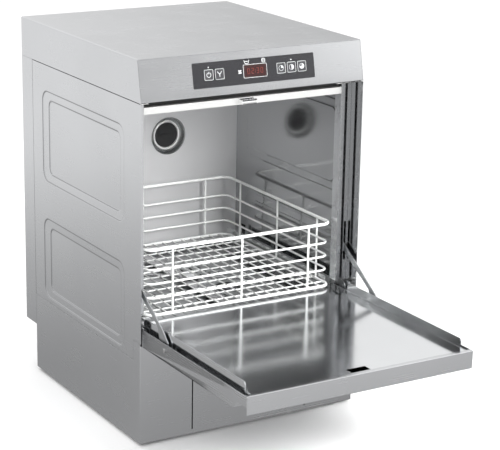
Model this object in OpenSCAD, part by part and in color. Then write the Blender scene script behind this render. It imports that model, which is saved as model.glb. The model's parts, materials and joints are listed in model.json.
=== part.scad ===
// Undercounter glass washer with a drop-down door, drawn with the door open.
// X runs to the right of someone facing the machine, Y to its back, Z up.
// Inside the modules Y is counted from the front plane of the cabinet.

/* [Cabinet] */
// Width of the cabinet
cabinet_w = 460; // [450:1:480]
// Height from the floor to the top of the hood
cabinet_h = 710; // [705:1:730]
// Depth of the cabinet without the open door
cabinet_d = 505; // [500:1:540]
// Height of the hood that carries the controls
hood_h = 75; // [70:1:80]
// How far the top edge of the fascia lies behind its bottom edge
fascia_setback = 15; // [8:1:25]
// Thickness of the stainless sheet
sheet = 1.2; // [1.0:0.1:1.2]
// Height of the feet
foot_h = 5; // [4:1:20]
// Depth of the raised cover at the back
rear_cover_d = 50; // [40:1:60]

/* [Door] */
// Thickness of the door
door_t = 33; // [31:1:34]
// Height of the side ribs above the inner face of the door
rib_h = 16; // [14:1:22]
// Height of the hinge line above the floor
hinge_z = 229; // [229:1:231]
// Distance of the hinge line behind the front plane
hinge_y = 36; // [36:1:37]

/* [Basket] */
// Side of the square glass basket
basket_w = 400; // [380:5:400]
// Height of the basket
basket_h = 129; // [80:1:160]
// Wire of the rim and of the floor frame
rim_wire = 6; // [4:0.5:7]
// Wire of the rings and uprights
side_wire = 4; // [3:0.5:5]

/* [Controls] */
// Width of the black control strip
strip_w = 250; // [230:1:260]
// Height of the black control strip
strip_h = 45; // [40:1:50]
// Side of a key
key_w = 18.6; // [14:0.1:18.8]
// Distance from key to key
key_pitch = 21.8; // [21:0.1:24]

/* [Wash system] */
// Length of a wash arm from its axis to its tip
arm_r = 180; // [150:1:181]
// Diameter of the fixed spindles that the arms turn on
spindle_d = 16; // [12:1:18]
// Radial running clearance of the arms and the hinge pins
run_gap = 0.08; // [0.03:0.01:0.1]

/* [Hidden] */
$fn = 48;
eps = 0.01;
gap = 0.2;
seam = 0.4;
half_w = cabinet_w / 2;
inner_x = half_w - sheet;
hood_z = cabinet_h - hood_h;
base_z = 160;
panel_y = 4;
shell_d = cabinet_d - rear_cover_d;
rear_cover_z = 95;
front_panel_top = 192.6;
return_d = 26;
return_top = 198;
door_front = -365;
door_back = 60;
door_bottom = 194;
door_top = door_bottom + door_t;
door_half_w = half_w - 2;
// The door is narrower behind this plane, where its hinges are
hinge_end_y = -2;
hinge_half_w = half_w - 4;
rib_x = hinge_half_w - 9.4;
grip_d = 32;
grip_h = 13.8;
grip_slope = 11;
jamb_face = 36;
jamb_in = 206;
jamb_top = 624.6;
ceiling_z = 624.8;
catch_half = 16;
catch_room = 3;
tank_z = 204;
well_z = 150;
well_half = 110;
back_wall_y = shell_d - 1.6;
arm_y = 245;
basket_z = 230;
basket_y = 38;
basket_mid = basket_y + basket_w / 2;
strip_t = 0.8;
tilt = atan(fascia_setback / hood_h);
left_keys_x = -93.5;
right_keys_x = 54.8;
key_x = [left_keys_x, left_keys_x + key_pitch, for (i = [0 : 2]) right_keys_x + i * key_pitch];
vent_x = 67;
vent_z = 452;
pump_y = arm_y + 38;
pump_z = 62;
drain_x = 62;
drain_y = 190;
screw_h = 2.2;
// The middle of the footprint, counted from the front plane
mid_y = (cabinet_d + screw_h + door_front) / 2;

// A box between two corners, each given as [x, y, z]
module block(low, high) {
    translate(low) cube(high - low);
}

// A piece in the machine's own place, in its colour
module piece(colour) {
    color(colour) translate([0, -mid_y, 0]) children();
}

module both_sides() {
    children();
    mirror([1, 0, 0]) children();
}

// A flat shape drawn in (y, z) and extruded from x0 to x1
module along_x(x0, x1) {
    translate([x0, 0, 0]) rotate([90, 0, 90]) linear_extrude(x1 - x0) children();
}

// A flat shape drawn in (x, z) and extruded from y0 to y1
module along_y(y0, y1) {
    translate([0, y1, 0]) rotate([90, 0, 0]) linear_extrude(y1 - y0) children();
}

// A rectangle between two corners with round corners, of squares and circles
module rounded(low, high, r) {
    translate([low[0] + r, low[1]]) square([high[0] - low[0] - 2 * r, high[1] - low[1]]);
    translate([low[0], low[1] + r]) square([high[0] - low[0], high[1] - low[1] - 2 * r]);
    for (x = [low[0] + r, high[0] - r], y = [low[1] + r, high[1] - r])
        translate([x, y]) circle(r);
}

// A tube along Z
module tube(od, id, z0, z1) {
    translate([0, 0, z0]) difference() {
        cylinder(d = od, h = z1 - z0);
        translate([0, 0, -1]) cylinder(d = id, h = z1 - z0 + 2);
    }
}

// A quarter bend of tube, from +X round to +Z, with its centre line starting at the origin
module bend(od, id, r) {
    translate([0, 0, r]) rotate([90, 0, 0]) rotate([0, 0, -90])
        rotate_extrude(angle = 90) translate([r, 0]) difference() {
            circle(d = od);
            circle(d = id);
        }
}

// The middle of the fascia: local X across, Y up the slope, Z out of the surface
module on_fascia() {
    translate([0, fascia_setback / 2, hood_z + hood_h / 2]) rotate([90 - tilt, 0, 0]) children();
}

function fascia_y(z) = (z - hood_z) * fascia_setback / hood_h;

// ---- Hood and controls ----

module top_cover() piece("silver") {
    both_sides() along_x(inner_x, half_w) polygon([[0, hood_z], [cabinet_d, hood_z],
        [cabinet_d, cabinet_h], [fascia_setback, cabinet_h]]);
    block([-inner_x, fascia_setback, cabinet_h - sheet], [inner_x, cabinet_d, cabinet_h]);
    block([-inner_x, cabinet_d - sheet, hood_z], [inner_x, cabinet_d, cabinet_h]);
}

module control_fascia() piece("lightsteelblue") {
    low = hood_z + 0.3;
    high = cabinet_h - sheet - gap;
    depth = sheet / cos(tilt);
    difference() {
        along_x(-inner_x + gap, inner_x - gap) polygon([[fascia_y(low), low], [30, low],
            [30, low + sheet], [fascia_y(low + sheet) + depth, low + sheet],
            [fascia_y(high) + depth, high], [fascia_y(high), high]]);
        on_fascia() block([-119, -17, -5], [119, 17, 5]);
    }
}

module key_openings(size) {
    for (x = key_x)
        translate([x, 0, -1]) linear_extrude(5)
            rounded([-size / 2, -size / 2], [size / 2, size / 2], 2);
}

module control_strip() piece([0.05, 0.05, 0.06]) {
    on_fascia() difference() {
        linear_extrude(strip_t) rounded([-strip_w / 2, -strip_h / 2], [strip_w / 2, strip_h / 2], 2);
        key_openings(key_w + 0.8);
        block([-22, -10.5, -1], [24, 10.5, 5]);
    }
}

module display_window() piece([0.25, 0.02, 0.02]) {
    on_fascia() block([-21.8, -10.3, -0.8], [23.8, 10.3, strip_t]);
}

module key(i) piece([0.12, 0.12, 0.13]) {
    on_fascia() translate([key_x[i], 0, 0]) {
        translate([0, 0, -1]) linear_extrude(2.1)
            rounded([-key_w / 2, -key_w / 2], [key_w / 2, key_w / 2], 2);
        translate([0, 0, -6.7]) cylinder(d = 5, h = 6);
    }
}

module key_power() key(0);
module key_drain() key(1);
module key_short() key(2);
module key_medium() key(3);
module key_long() key(4);

module control_housing() piece([0.15, 0.15, 0.16]) {
    on_fascia() {
        difference() {
            block([-124, -20, -20], [124, 20, -1.5]);
            block([-121.5, -17.8, -18], [121.5, 17.8, 0]);
        }
        for (x = [-110, 110], y = [-12, 12]) translate([x, y, -18.5]) cylinder(d = 6, h = 6.5);
    }
}

module control_board() piece("darkgreen") {
    on_fascia() {
        block([-120, -16.5, -12], [120, 16.5, -10.4]);
        for (x = key_x) translate([x, 0, -11]) cylinder(d = 5, h = 3.4);
        block([-20, -9, -11], [22, 9, -1.5]);
    }
}

// ---- Side panels and chamber ----

// The two pressed fields of a side panel, as corners in (y, z)
fields = [[[66, 170.5], [410, 331]], [[66, 406.5], [410, 584]]];
field_depth = 3;

module side_panel() {
    difference() {
        union() {
            along_x(inner_x, half_w) {
                translate([0, return_top + seam]) square([shell_d - seam, hood_z - return_top - 2 * seam]);
                translate([panel_y + return_d + seam, base_z + seam])
                    square([shell_d - panel_y - return_d - 2 * seam, hood_z - base_z - 2 * seam]);
            }
            for (f = fields) along_x(inner_x - field_depth, half_w - eps) rounded(f[0], f[1], 22);
        }
        for (f = fields)
            along_x(half_w - field_depth, half_w + 1)
                rounded(f[0] + [sheet, sheet], f[1] - [sheet, sheet], 22 - sheet);
    }
}

module right_side_panel() piece("silver") side_panel();
module left_side_panel() piece("silver") mirror([1, 0, 0]) side_panel();

// One side post of the doorway: a folded strip with a groove that takes the door's rib
module door_jamb() {
    groove_in = 213.6;
    groove_out = 221.4;
    floor_y = 61;
    difference() {
        translate([0, 0, 242]) linear_extrude(jamb_top - 242) {
            translate([groove_out - sheet, jamb_face]) square([inner_x - gap - groove_out + sheet, sheet]);
            translate([groove_out - sheet, jamb_face]) square([sheet, floor_y - jamb_face]);
            translate([groove_in, floor_y - sheet]) square([groove_out - groove_in, sheet]);
            translate([groove_in, jamb_face]) square([sheet, floor_y - jamb_face]);
            translate([jamb_in, jamb_face]) square([groove_in - jamb_in + sheet, sheet]);
            translate([jamb_in, jamb_face]) square([sheet, 20]);
            translate([inner_x - gap - sheet, jamb_face]) square([sheet, 29]);
        }
        block([221.45, jamb_face - 1, 282], [226.6, jamb_face + 3, 358]);
    }
}

module door_jambs() piece("gainsboro") both_sides() door_jamb();

// The bright bar over the doorway: its face, the shelf above it and the web up to the hood
module top_frame() piece("gainsboro") {
    half = inner_x - gap;
    web_y = 50;
    lip_z = 606.5;
    face_top = 619;
    along_x(-jamb_in + gap, jamb_in - gap) polygon([[jamb_face, lip_z], [54, lip_z], [54, lip_z + sheet],
        [jamb_face + sheet, lip_z + sheet], [jamb_face + sheet, face_top - sheet],
        [web_y + sheet, face_top - sheet], [web_y + sheet, jamb_top + 2 * sheet],
        [web_y, jamb_top + 2 * sheet], [web_y, face_top], [jamb_face, face_top]]);
    both_sides()
        block([jamb_in - 10, jamb_face + 1, jamb_top + gap], [half, web_y + eps, jamb_top + gap + sheet]);
}

// The spring catch that holds the door shut
module door_catch() piece("silver") {
    half = catch_half;
    block([-half, jamb_face - sheet, 607.5], [half, jamb_face, 618.5]);
    for (x = [-half, half - sheet]) block([x, 22, 609], [x + sheet, jamb_face, 617]);
    along_x(-half + sheet, half - sheet) translate([26, 612]) circle(d = 8);
}

module chamber_ceiling() piece("lightgray") {
    difference() {
        block([-inner_x + gap, 54, ceiling_z], [inner_x - gap, back_wall_y - gap, ceiling_z + sheet]);
        translate([0, arm_y, ceiling_z - 1]) cylinder(d = 18, h = 4);
    }
}

module chamber_back_wall() piece("lightgray") {
    along_y(back_wall_y, back_wall_y + sheet) difference() {
        translate([-inner_x + gap, tank_z]) square([2 * (inner_x - gap), hood_z - 0.6 - tank_z]);
        translate([vent_x, vent_z]) circle(d = 76);
    }
}

// Round pieces of the vent, turned about an axis along Y
module at_vent(y) {
    translate([vent_x, y, vent_z]) rotate([-90, 0, 0]) children();
}

module vent_dish() piece("silver") {
    at_vent(back_wall_y) difference() {
        union() {
            translate([0, 0, -sheet]) cylinder(d = 80, h = sheet);
            translate([0, 0, -sheet]) cylinder(d = 75.6, h = sheet + 15);
        }
        translate([0, 0, -2]) cylinder(d = 73.2, h = 15.8);
        cylinder(d = 44, h = 20);
    }
}

module vent_ring() piece("whitesmoke") {
    at_vent(back_wall_y + 6.8) difference() {
        cylinder(d = 62, h = 7);
        translate([0, 0, -1]) cylinder(d = 51, h = 9);
    }
}

module vent_plug() piece([0.04, 0.04, 0.04]) {
    at_vent(back_wall_y + 9) {
        cylinder(d = 50.6, h = 4.8);
        translate([0, 0, 4]) cylinder(d = 43.6, h = 8);
        translate([0, 0, -1.5]) linear_extrude(2.5) rounded([-16, -2.5], [16, 2.5], 2.4);
    }
}

module wash_tank() piece("lightgray") {
    half = 225;
    back = back_wall_y - gap;
    difference() {
        union() {
            block([-half, 62, tank_z], [half, back, tank_z + sheet]);
            block([-well_half, arm_y - well_half, well_z], [well_half, arm_y + well_half, tank_z + sheet]);
        }
        block([-well_half + sheet, arm_y - well_half + sheet, well_z + sheet],
            [well_half - sheet, arm_y + well_half - sheet, tank_z + 5]);
        translate([0, arm_y, well_z - 1]) cylinder(d = 20, h = 4);
        translate([drain_x, drain_y, well_z - 1]) cylinder(d = 26.2, h = 4);
        translate([drain_x, pump_y, well_z - 1]) cylinder(d = 30, h = 4);
    }
    block([-half, 62, tank_z], [half, 62 + sheet, 227]);
    block([-half, back - sheet, tank_z], [half, back, 214]);
    both_sides() block([half - sheet, 62, tank_z], [half, back, 214]);
}

module drip_tray() piece("lightgray") {
    half = 218;
    block([-half, 7, 176], [half, 61.8, 176 + sheet]);
    block([-half, 7, 176], [half, 7 + sheet, 186]);
    both_sides() block([half - sheet, 7, 176], [half, 61.8, 184]);
}

module tank_filter() piece("silver") {
    reach = well_half + 8;
    translate([0, arm_y, tank_z + sheet + gap]) linear_extrude(1.2) difference() {
        square(2 * reach, center = true);
        circle(d = 32);
        translate([drain_x, drain_y - arm_y]) circle(d = 61);
        for (x = [-90 : 20 : 90], y = [-100 : 22 : 98])
            if (norm([x, y + 5]) > 34 && norm([x - drain_x, y - drain_y + arm_y + 5]) > 50)
                translate([x - 2, y - 3]) square([4, 14]);
    }
}

module sump_strainer() piece("gray") {
    translate([drain_x, drain_y, 0]) difference() {
        union() {
            tube(58, 55, well_z + sheet, tank_z + 3.6);
            tube(57, 30.6, well_z + sheet, well_z + sheet + 1.5);
        }
        for (a = [0 : 45 : 315], z = [165, 178, 191])
            rotate([0, 0, a]) translate([20, 0, z]) rotate([0, 90, 0]) cylinder(d = 5, h = 15);
    }
}

module overflow_pipe() piece([0.2, 0.2, 0.22]) {
    translate([drain_x, drain_y, 0]) {
        tube(30, 25, well_z + sheet, tank_z + 3.4);
        tube(26, 22, well_z, well_z + sheet + 2);
    }
}

module basket_rails() piece("silver") both_sides() {
    rail_z = basket_z - 0.3;
    block([193, 66, rail_z - sheet], [216, back_wall_y - 12, rail_z]);
    block([202, 66, rail_z - sheet], [202 + sheet, back_wall_y - 12, rail_z + 14]);
    for (y = [150, 290, 420]) block([215, y, rail_z - sheet], [225.6, y + 14, rail_z]);
    for (y = [150, 290, 420]) block([224.4, y, rail_z - sheet], [225.6, y + 14, rail_z + 20]);
}

// ---- Wash system ----

module at_arms() {
    translate([0, arm_y, 0]) children();
}

module lower_spindle() piece("silver") at_arms() difference() {
    union() {
        translate([0, 0, well_z + sheet]) cylinder(d = 30, h = 1.6);
        translate([0, 0, well_z + sheet]) cylinder(d = 24, h = 57);
        translate([0, 0, 200]) cylinder(d = spindle_d, h = 26);
        translate([0, 0, well_z - 0.2]) cylinder(d = 19.6, h = 3);
    }
    translate([0, 0, well_z - 1]) cylinder(d = 11, h = 70);
}

module upper_spindle() piece("silver") at_arms() difference() {
    union() {
        translate([0, 0, ceiling_z - 12]) cylinder(d = 30, h = 11.8);
        translate([0, 0, 585]) cylinder(d = spindle_d, h = 30);
        translate([0, 0, 610]) cylinder(d = 24, h = 12);
        translate([0, 0, 620]) cylinder(d = 17.6, h = 7.2);
    }
    translate([0, 0, 592]) cylinder(d = 11, h = 40);
}

// A two-bladed spray arm in the plane z0, with a row of jets in each blade
module spray_arm(z0, thick, width, reach, hub_d, jet_d, jets, jet_up) {
    difference() {
        union() {
            translate([0, 0, z0]) linear_extrude(thick)
                rounded([-width / 2, -reach], [width / 2, reach], width / 2 - eps);
            translate([0, 0, z0]) cylinder(d = hub_d, h = thick);
        }
        translate([0, 0, z0 - 1]) cylinder(d = spindle_d + 2 * run_gap, h = thick + 2);
        for (i = [1 : jets], s = [-1, 1])
            translate([s * width / 5, s * (hub_d / 2 + (reach - hub_d / 2 - 10) * i / jets),
                jet_up ? z0 + thick - 2 : z0 - 1]) cylinder(d = jet_d, h = 3);
    }
}

module lower_wash_arm() piece("silver") at_arms() spray_arm(208.6, 9, 28, arm_r, 44, 4, 5, true);
module lower_rinse_arm() piece("gainsboro") at_arms() rotate([0, 0, 55])
    spray_arm(218.4, 5, 14, arm_r - 20, 34, 2, 4, true);
module upper_wash_arm() piece("silver") at_arms() rotate([0, 0, 4])
    spray_arm(597, 9, 28, arm_r, 44, 4, 5, false);
module upper_rinse_arm() piece("gainsboro") at_arms() rotate([0, 0, 60])
    spray_arm(590.4, 5, 14, arm_r - 20, 34, 2, 4, false);

module arm_nuts() piece([0.85, 0.85, 0.86]) at_arms() {
    difference() {
        translate([0, 0, 223.8]) cylinder(d = 26, h = 4.8);
        translate([0, 0, 223]) cylinder(d = spindle_d + run_gap, h = 3.05);
    }
    difference() {
        translate([0, 0, 584]) cylinder(d = 26, h = 6);
        translate([0, 0, 584.95]) cylinder(d = spindle_d + run_gap, h = 6);
    }
}

// ---- Base ----

module front_panel() piece("silver") {
    slot_x = 122;
    slot_w = 2.4;
    slot_top = 116;
    bottom = foot_h + 1;
    difference() {
        union() {
            block([-half_w, panel_y, bottom], [half_w, panel_y + sheet, front_panel_top]);
            both_sides() block([inner_x, panel_y, bottom], [half_w, panel_y + return_d, return_top]);
        }
        for (x = [-slot_x, slot_x])
            block([x - slot_w / 2, panel_y - 1, bottom + 8], [x + slot_w / 2, panel_y + 2, slot_top]);
    }
}

module base_side_panels() piece("silver") both_sides() {
    block([inner_x, panel_y + return_d + seam, foot_h + 1], [half_w, shell_d - seam, base_z - seam]);
}

// Where the water inlet, the drain and the cable pass the back of the base
inlet_at = [-150, 60];
drain_at = [150, 60];
gland_at = [198, 60];

module base_back_panel() piece("silver") {
    along_y(back_wall_y, back_wall_y + sheet) difference() {
        translate([-inner_x + gap, foot_h + 2]) square([2 * (inner_x - gap), tank_z - foot_h - 3]);
        translate(inlet_at) circle(d = 27);
        translate(drain_at) circle(d = 22.6);
        translate(gland_at) circle(d = 16.2);
        translate([0, 128]) circle(d = 25.4);
    }
}

module rear_cover() piece("silver") {
    both_sides() block([inner_x, shell_d, rear_cover_z], [half_w, cabinet_d, hood_z - 0.4]);
    block([-inner_x, cabinet_d - sheet, rear_cover_z], [inner_x, cabinet_d, hood_z - 0.4]);
    difference() {
        block([-inner_x, shell_d, rear_cover_z], [inner_x, cabinet_d, rear_cover_z + sheet]);
        for (x = [-90 : 30 : 90])
            block([x - 2, shell_d + 15, rear_cover_z - 1], [x + 2, shell_d + 35, rear_cover_z + 3]);
    }
}

module base_tray() piece("dimgray") {
    half = inner_x - gap;
    block([-half, 6, foot_h], [half, back_wall_y - gap, foot_h + sheet]);
    both_sides() block([half - sheet, 6, foot_h], [half, back_wall_y - gap, foot_h + 22]);
}

module feet() piece([0.06, 0.06, 0.06]) {
    for (x = [-195, 195], y = [42, 420]) translate([x, y, 0]) cylinder(d = 40, h = foot_h);
}

module at_pump() {
    translate([0, pump_y, pump_z]) rotate([0, 90, 0]) children();
}

module pump_volute() piece("dimgray") difference() {
    union() {
        at_pump() translate([0, 0, -20]) cylinder(d = 100, h = 40);
        translate([0, arm_y, pump_z]) cylinder(d = 24, h = 54);
        at_pump() translate([0, 0, 19]) cylinder(d = 36, h = 15);
        block([-19, pump_y - 30, foot_h + sheet], [19, pump_y + 30, 30]);
    }
    at_pump() translate([0, 0, -12]) cylinder(d = 84, h = 24);
    translate([0, arm_y, pump_z]) cylinder(d = 18, h = 60);
    at_pump() translate([0, 0, 10]) cylinder(d = 29, h = 30);
    at_pump() translate([0, 0, -30]) cylinder(d = 10.6, h = 30);
}

module pump_motor() piece("slategray") difference() {
    union() {
        at_pump() translate([0, 0, -130]) cylinder(d = 88, h = 110);
        at_pump() translate([0, 0, -140]) cylinder(d = 70, h = 11);
        block([-110, pump_y - 34, foot_h + sheet], [-40, pump_y + 34, 30]);
        block([-100, pump_y - 20, 100], [-50, pump_y + 20, 124]);
    }
    at_pump() translate([0, 0, -80]) cylinder(d = 10 + 2 * run_gap, h = 62);
}

module pump_impeller() piece("black") at_pump() {
    translate([0, 0, -8]) cylinder(d = 74, h = 3);
    translate([0, 0, -8]) cylinder(d = 22, h = 14);
    for (a = [0 : 60 : 300]) rotate([0, 0, a]) block([9, -1.5, -6], [36, 1.5, 4]);
    translate([0, 0, -76]) cylinder(d = 10, h = 70);
}

// The washed water goes up to the lower spindle, and back and over the ceiling to the upper one
module delivery_pipe() piece([0.12, 0.12, 0.12]) {
    branch_z = 128;
    top_z = 660;
    back_y = shell_d + 25;
    difference() {
        union() {
            translate([0, arm_y, 116]) cylinder(d = 24, h = well_z - 116.4);
            translate([0, arm_y, branch_z]) rotate([-90, 0, 0]) cylinder(d = 24, h = back_y - 30 - arm_y);
        }
        translate([0, arm_y, 115]) cylinder(d = 18, h = 40);
        translate([0, arm_y, branch_z]) rotate([-90, 0, 0]) cylinder(d = 18, h = 400);
    }
    translate([0, back_y - 30, branch_z]) rotate([0, 0, 90]) bend(24, 18, 30);
    translate([0, back_y, 0]) tube(24, 18, branch_z + 30, top_z - 30);
    translate([0, back_y - 30, top_z]) rotate([0, 0, 90]) mirror([0, 0, 1]) bend(24, 18, 30);
    translate([0, arm_y + 30, top_z]) rotate([-90, 0, 0]) tube(24, 18, 0, back_y - 60 - arm_y);
    translate([0, arm_y + 30, top_z]) rotate([0, 0, -90]) mirror([0, 0, 1]) bend(24, 18, 30);
    translate([0, arm_y, 0]) tube(24, 18, ceiling_z + sheet + 1.4, top_z - 30);
}

module suction_pipe() piece([0.12, 0.12, 0.12]) {
    translate([34, pump_y, pump_z]) bend(34, 28, 28);
    translate([drain_x, pump_y, 0]) tube(34, 28, pump_z + 28, well_z - gap);
}

module drain_pump() piece("slategray") difference() {
    union() {
        translate([drain_x, drain_y, 45]) cylinder(d = 64, h = 99);
        translate([drain_x, drain_y, 140]) cylinder(d = 34, h = well_z - 140.2);
        translate([drain_x, drain_y, inlet_at[1]]) rotate([0, 90, 0]) cylinder(d = 24, h = 38);
        translate([drain_x, drain_y, foot_h + sheet]) cylinder(d = 30, h = 40);
    }
    translate([drain_x, drain_y, 112]) cylinder(d = 26, h = 50);
    translate([drain_x + 20, drain_y, inlet_at[1]]) rotate([0, 90, 0]) cylinder(d = 18, h = 30);
}

// A plain hose inside, with a wider tail outside that takes the drain hose
module drain_hose() piece([0.15, 0.15, 0.15]) {
    turn = 30;
    bore = 17;
    hose_d = 21;
    tail_y = back_wall_y + 1.6;
    start_x = drain_x + 38;
    translate([start_x, drain_y, drain_at[1]]) rotate([0, 90, 0])
        tube(hose_d, bore, 0, drain_at[0] - turn - start_x);
    translate([drain_at[0] - turn, drain_y, drain_at[1]]) rotate([-90, 0, 0]) bend(hose_d, bore, turn);
    translate([drain_at[0], 0, drain_at[1]]) rotate([-90, 0, 0]) {
        tube(hose_d, bore, drain_y + turn, tail_y);
        tube(22, bore, tail_y, tail_y + 30);
    }
}

module boiler() piece("silver") {
    translate([-152, 150, 0]) {
        translate([0, 0, foot_h + sheet]) cylinder(d = 90, h = 6);
        translate([0, 0, foot_h + sheet + 6]) cylinder(d = 104, h = 118);
        translate([0, 0, 130]) cylinder(d = 50, h = 8);
        for (x = [-10, 10]) translate([x, 0, 136]) cylinder(d = 6, h = 10);
    }
}

// A hairpin heater lying in the well, with its two cold ends through a flange
module tank_element() piece("gray") {
    rod = 8;
    z = 166;
    x0 = -well_half + sheet;
    for (y = [arm_y + 60, arm_y + 90])
        translate([x0 + 4, y, z]) rotate([0, 90, 0]) cylinder(d = rod, h = 140);
    translate([x0 + 144, arm_y + 75, z]) rotate([0, 0, -90])
        rotate_extrude(angle = 180) translate([15, 0]) circle(d = rod);
    block([x0, arm_y + 50, z - 9], [x0 + 5, arm_y + 100, z + 9]);
}

module inlet_valve() piece([0.85, 0.85, 0.8]) {
    translate([inlet_at[0], 0, inlet_at[1]]) {
        block([-20, back_wall_y - 42, -18], [20, back_wall_y - gap, 18]);
        rotate([-90, 0, 0]) {
            tube(25, 18, back_wall_y - 3, back_wall_y + 1.6);
            tube(26.4, 18, back_wall_y + 1.6, back_wall_y + 21.6);
        }
        translate([0, back_wall_y - 24, 17]) cylinder(d = 30, h = 34);
    }
}

module cable_gland() piece([0.05, 0.05, 0.05]) {
    translate([gland_at[0], 0, gland_at[1]]) rotate([-90, 0, 0]) {
        tube(16, 9, back_wall_y - 10, back_wall_y + 4);
        tube(22, 9, back_wall_y + sheet, back_wall_y + sheet + 5);
        tube(18, 9, back_wall_y + sheet + 4, back_wall_y + sheet + 18);
        tube(22, 9, back_wall_y - 5, back_wall_y);
    }
}

// ---- Door ----

module at_hinge() {
    translate([0, hinge_y, hinge_z]) rotate([0, 90, 0]) children();
}

module hinge_pins() piece("silver") both_sides() difference() {
    union() {
        along_x(226.9, inner_x - gap) rounded([hinge_y - 14, 200], [hinge_y + 24, 240], 6);
        at_hinge() translate([0, 0, 220.6]) cylinder(d = 8, h = 7);
    }
    block([200, hinge_y + 5, 190], [inner_x + 1, hinge_y + 30, 199]);
}

module hinge_plates() piece("gray") both_sides() difference() {
    along_x(221.6, 224) {
        translate([hinge_y, hinge_z]) circle(d = 19);
        translate([hinge_y - 40, 213.6]) square([49.5, 13]);
    }
    at_hinge() translate([0, 0, 215]) cylinder(d = 8 + 2 * run_gap, h = 12);
}

// Side view of the outer skin: floor, room for the fingers, and the front plate they go behind
module outer_skin_outline() {
    roof = door_bottom + grip_h;
    lip = 3;
    polygon([[door_back, door_bottom], [door_back, door_bottom + sheet],
        [door_front + grip_d + grip_slope + 0.6, door_bottom + sheet],
        [door_front + grip_d + 0.6, roof + sheet],
        [door_front + sheet, roof + sheet], [door_front + sheet, door_top - sheet - gap],
        [door_front + 8, door_top - sheet - gap], [door_front + 8, door_top], [door_front, door_top],
        [door_front, door_bottom], [door_front + lip, door_bottom], [door_front + lip, door_bottom + sheet],
        [door_front + sheet, door_bottom + sheet], [door_front + sheet, roof], [door_front + grip_d, roof],
        [door_front + grip_d + grip_slope, door_bottom]]);
}

// Side view of a flange, cut away under the grip
module flange_outline() {
    roof = door_bottom + grip_h;
    polygon([[hinge_end_y, door_bottom], [hinge_end_y, door_top], [door_front, door_top],
        [door_front, roof], [door_front + grip_d, roof], [door_front + grip_d + grip_slope, door_bottom]]);
}

module door_outer_panel() piece("silver") difference() {
    union() {
        along_x(-door_half_w, door_half_w) outer_skin_outline();
        both_sides() {
            along_x(door_half_w - sheet, door_half_w) flange_outline();
            translate([hinge_half_w - sheet, hinge_end_y - sheet, door_bottom]) {
                cube([door_half_w - hinge_half_w + sheet, sheet, door_t]);
                cube([sheet, door_back - hinge_end_y + sheet, door_t]);
            }
        }
    }
    both_sides() block([hinge_half_w, hinge_end_y, door_bottom - 1], [half_w, door_back + 1, door_top + 1]);
    at_hinge() translate([0, 0, -half_w]) cylinder(d = 8 + 4 * run_gap, h = cabinet_w);
}

// The inner face with its two upright ribs and the channels beside them
module door_inner_panel() piece("gainsboro") {
    face = door_top - sheet;
    back = door_back - 1.5;
    channel_z = 212;
    channel_back = back - 8;
    front = door_front + 8.2;
    rib_t = 2.4;
    rib_front = door_front + 22;
    difference() {
        union() {
            block([-rib_x - rib_t, front, face], [rib_x + rib_t, back, door_top]);
            both_sides() {
                along_x(rib_x, rib_x + rib_t) polygon([[10, face], [10, door_top + rib_h - 6],
                    [4, door_top + rib_h], [rib_front + 3, door_top + rib_h],
                    [rib_front, door_top + rib_h - 3],
                    [rib_front, face]]);
                block([rib_x + rib_t - sheet, front, channel_z], [rib_x + rib_t, channel_back, face + eps]);
                block([rib_x + rib_t - sheet, front, channel_z],
                    [door_half_w - sheet - gap, hinge_end_y - sheet - gap, channel_z + sheet]);
                block([rib_x + rib_t - sheet, hinge_end_y - 3, channel_z],
                    [hinge_half_w - sheet - gap, channel_back, channel_z + sheet]);
            }
        }
        block([-catch_half - catch_room, door_front + 9.5, face - 1],
            [catch_half + catch_room, door_front + 27, door_top + 1]);
    }
}

// A stay arm runs from the door's channel up through the slot in the jamb
module stay_arms() piece("gray") both_sides() along_x(221.9, 224) difference() {
    union() {
        polygon([[-88, 213.3], [-62, 213.3], [-52, 247], [38, 302], [45, 312], [40, 318], [-72, 245],
            [-90, 228]]);
    }
    translate([-76, 224]) circle(d = 5);
}

// ---- Basket ----

// A square loop of wire seen from above
module wire_loop(outer, wire, r) {
    difference() {
        rounded([-outer, -outer], [outer, outer], r);
        rounded([-outer + wire, -outer + wire], [outer - wire, outer - wire], r - wire);
    }
}

module at_basket() {
    translate([0, basket_mid, basket_z]) children();
}

basket_half = basket_w / 2;

module basket_rim() piece("white") at_basket() {
    translate([0, 0, basket_h - rim_wire]) linear_extrude(rim_wire) wire_loop(basket_half, rim_wire, 22);
}

module basket_floor() piece("white") at_basket() {
    inside = basket_half - rim_wire;
    linear_extrude(rim_wire) wire_loop(basket_half, rim_wire, 22);
    translate([0, 0, 2]) linear_extrude(3) intersection() {
        rounded([-inside - 1, -inside - 1], [inside + 1, inside + 1], 16);
        union() {
            for (i = [-8 : 8]) translate([i * 22 - 1.5, -basket_half]) square([3, basket_w]);
            for (i = [-5 : 5]) translate([-basket_half, i * 34 - 1.5]) square([basket_w, 3]);
        }
    }
}

// One wall of the basket: a straight run and two half corners of each ring, and three uprights
module basket_wall() {
    ring = basket_half - side_wire;
    corner_gap = 0.05;
    intersection() {
        for (z = [32, 59, 86])
            translate([0, 0, z]) linear_extrude(side_wire) wire_loop(ring, side_wire, 10);
        linear_extrude(basket_h)
            translate([0, -corner_gap]) polygon([[0, 0], [-basket_w, -basket_w], [basket_w, -basket_w]]);
    }
    for (x = [-145, 0, 145])
        block([x - side_wire / 2, -basket_half, rim_wire],
            [x + side_wire / 2, -ring + eps, basket_h - rim_wire]);
}

module basket_sides() piece("white") at_basket()
    for (a = [0 : 90 : 270]) rotate([0, 0, a]) basket_wall();

// ---- Fasteners ----

module screw_head(at, turn) {
    translate(at) rotate(turn) cylinder(d = 9, h = screw_h);
}

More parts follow.
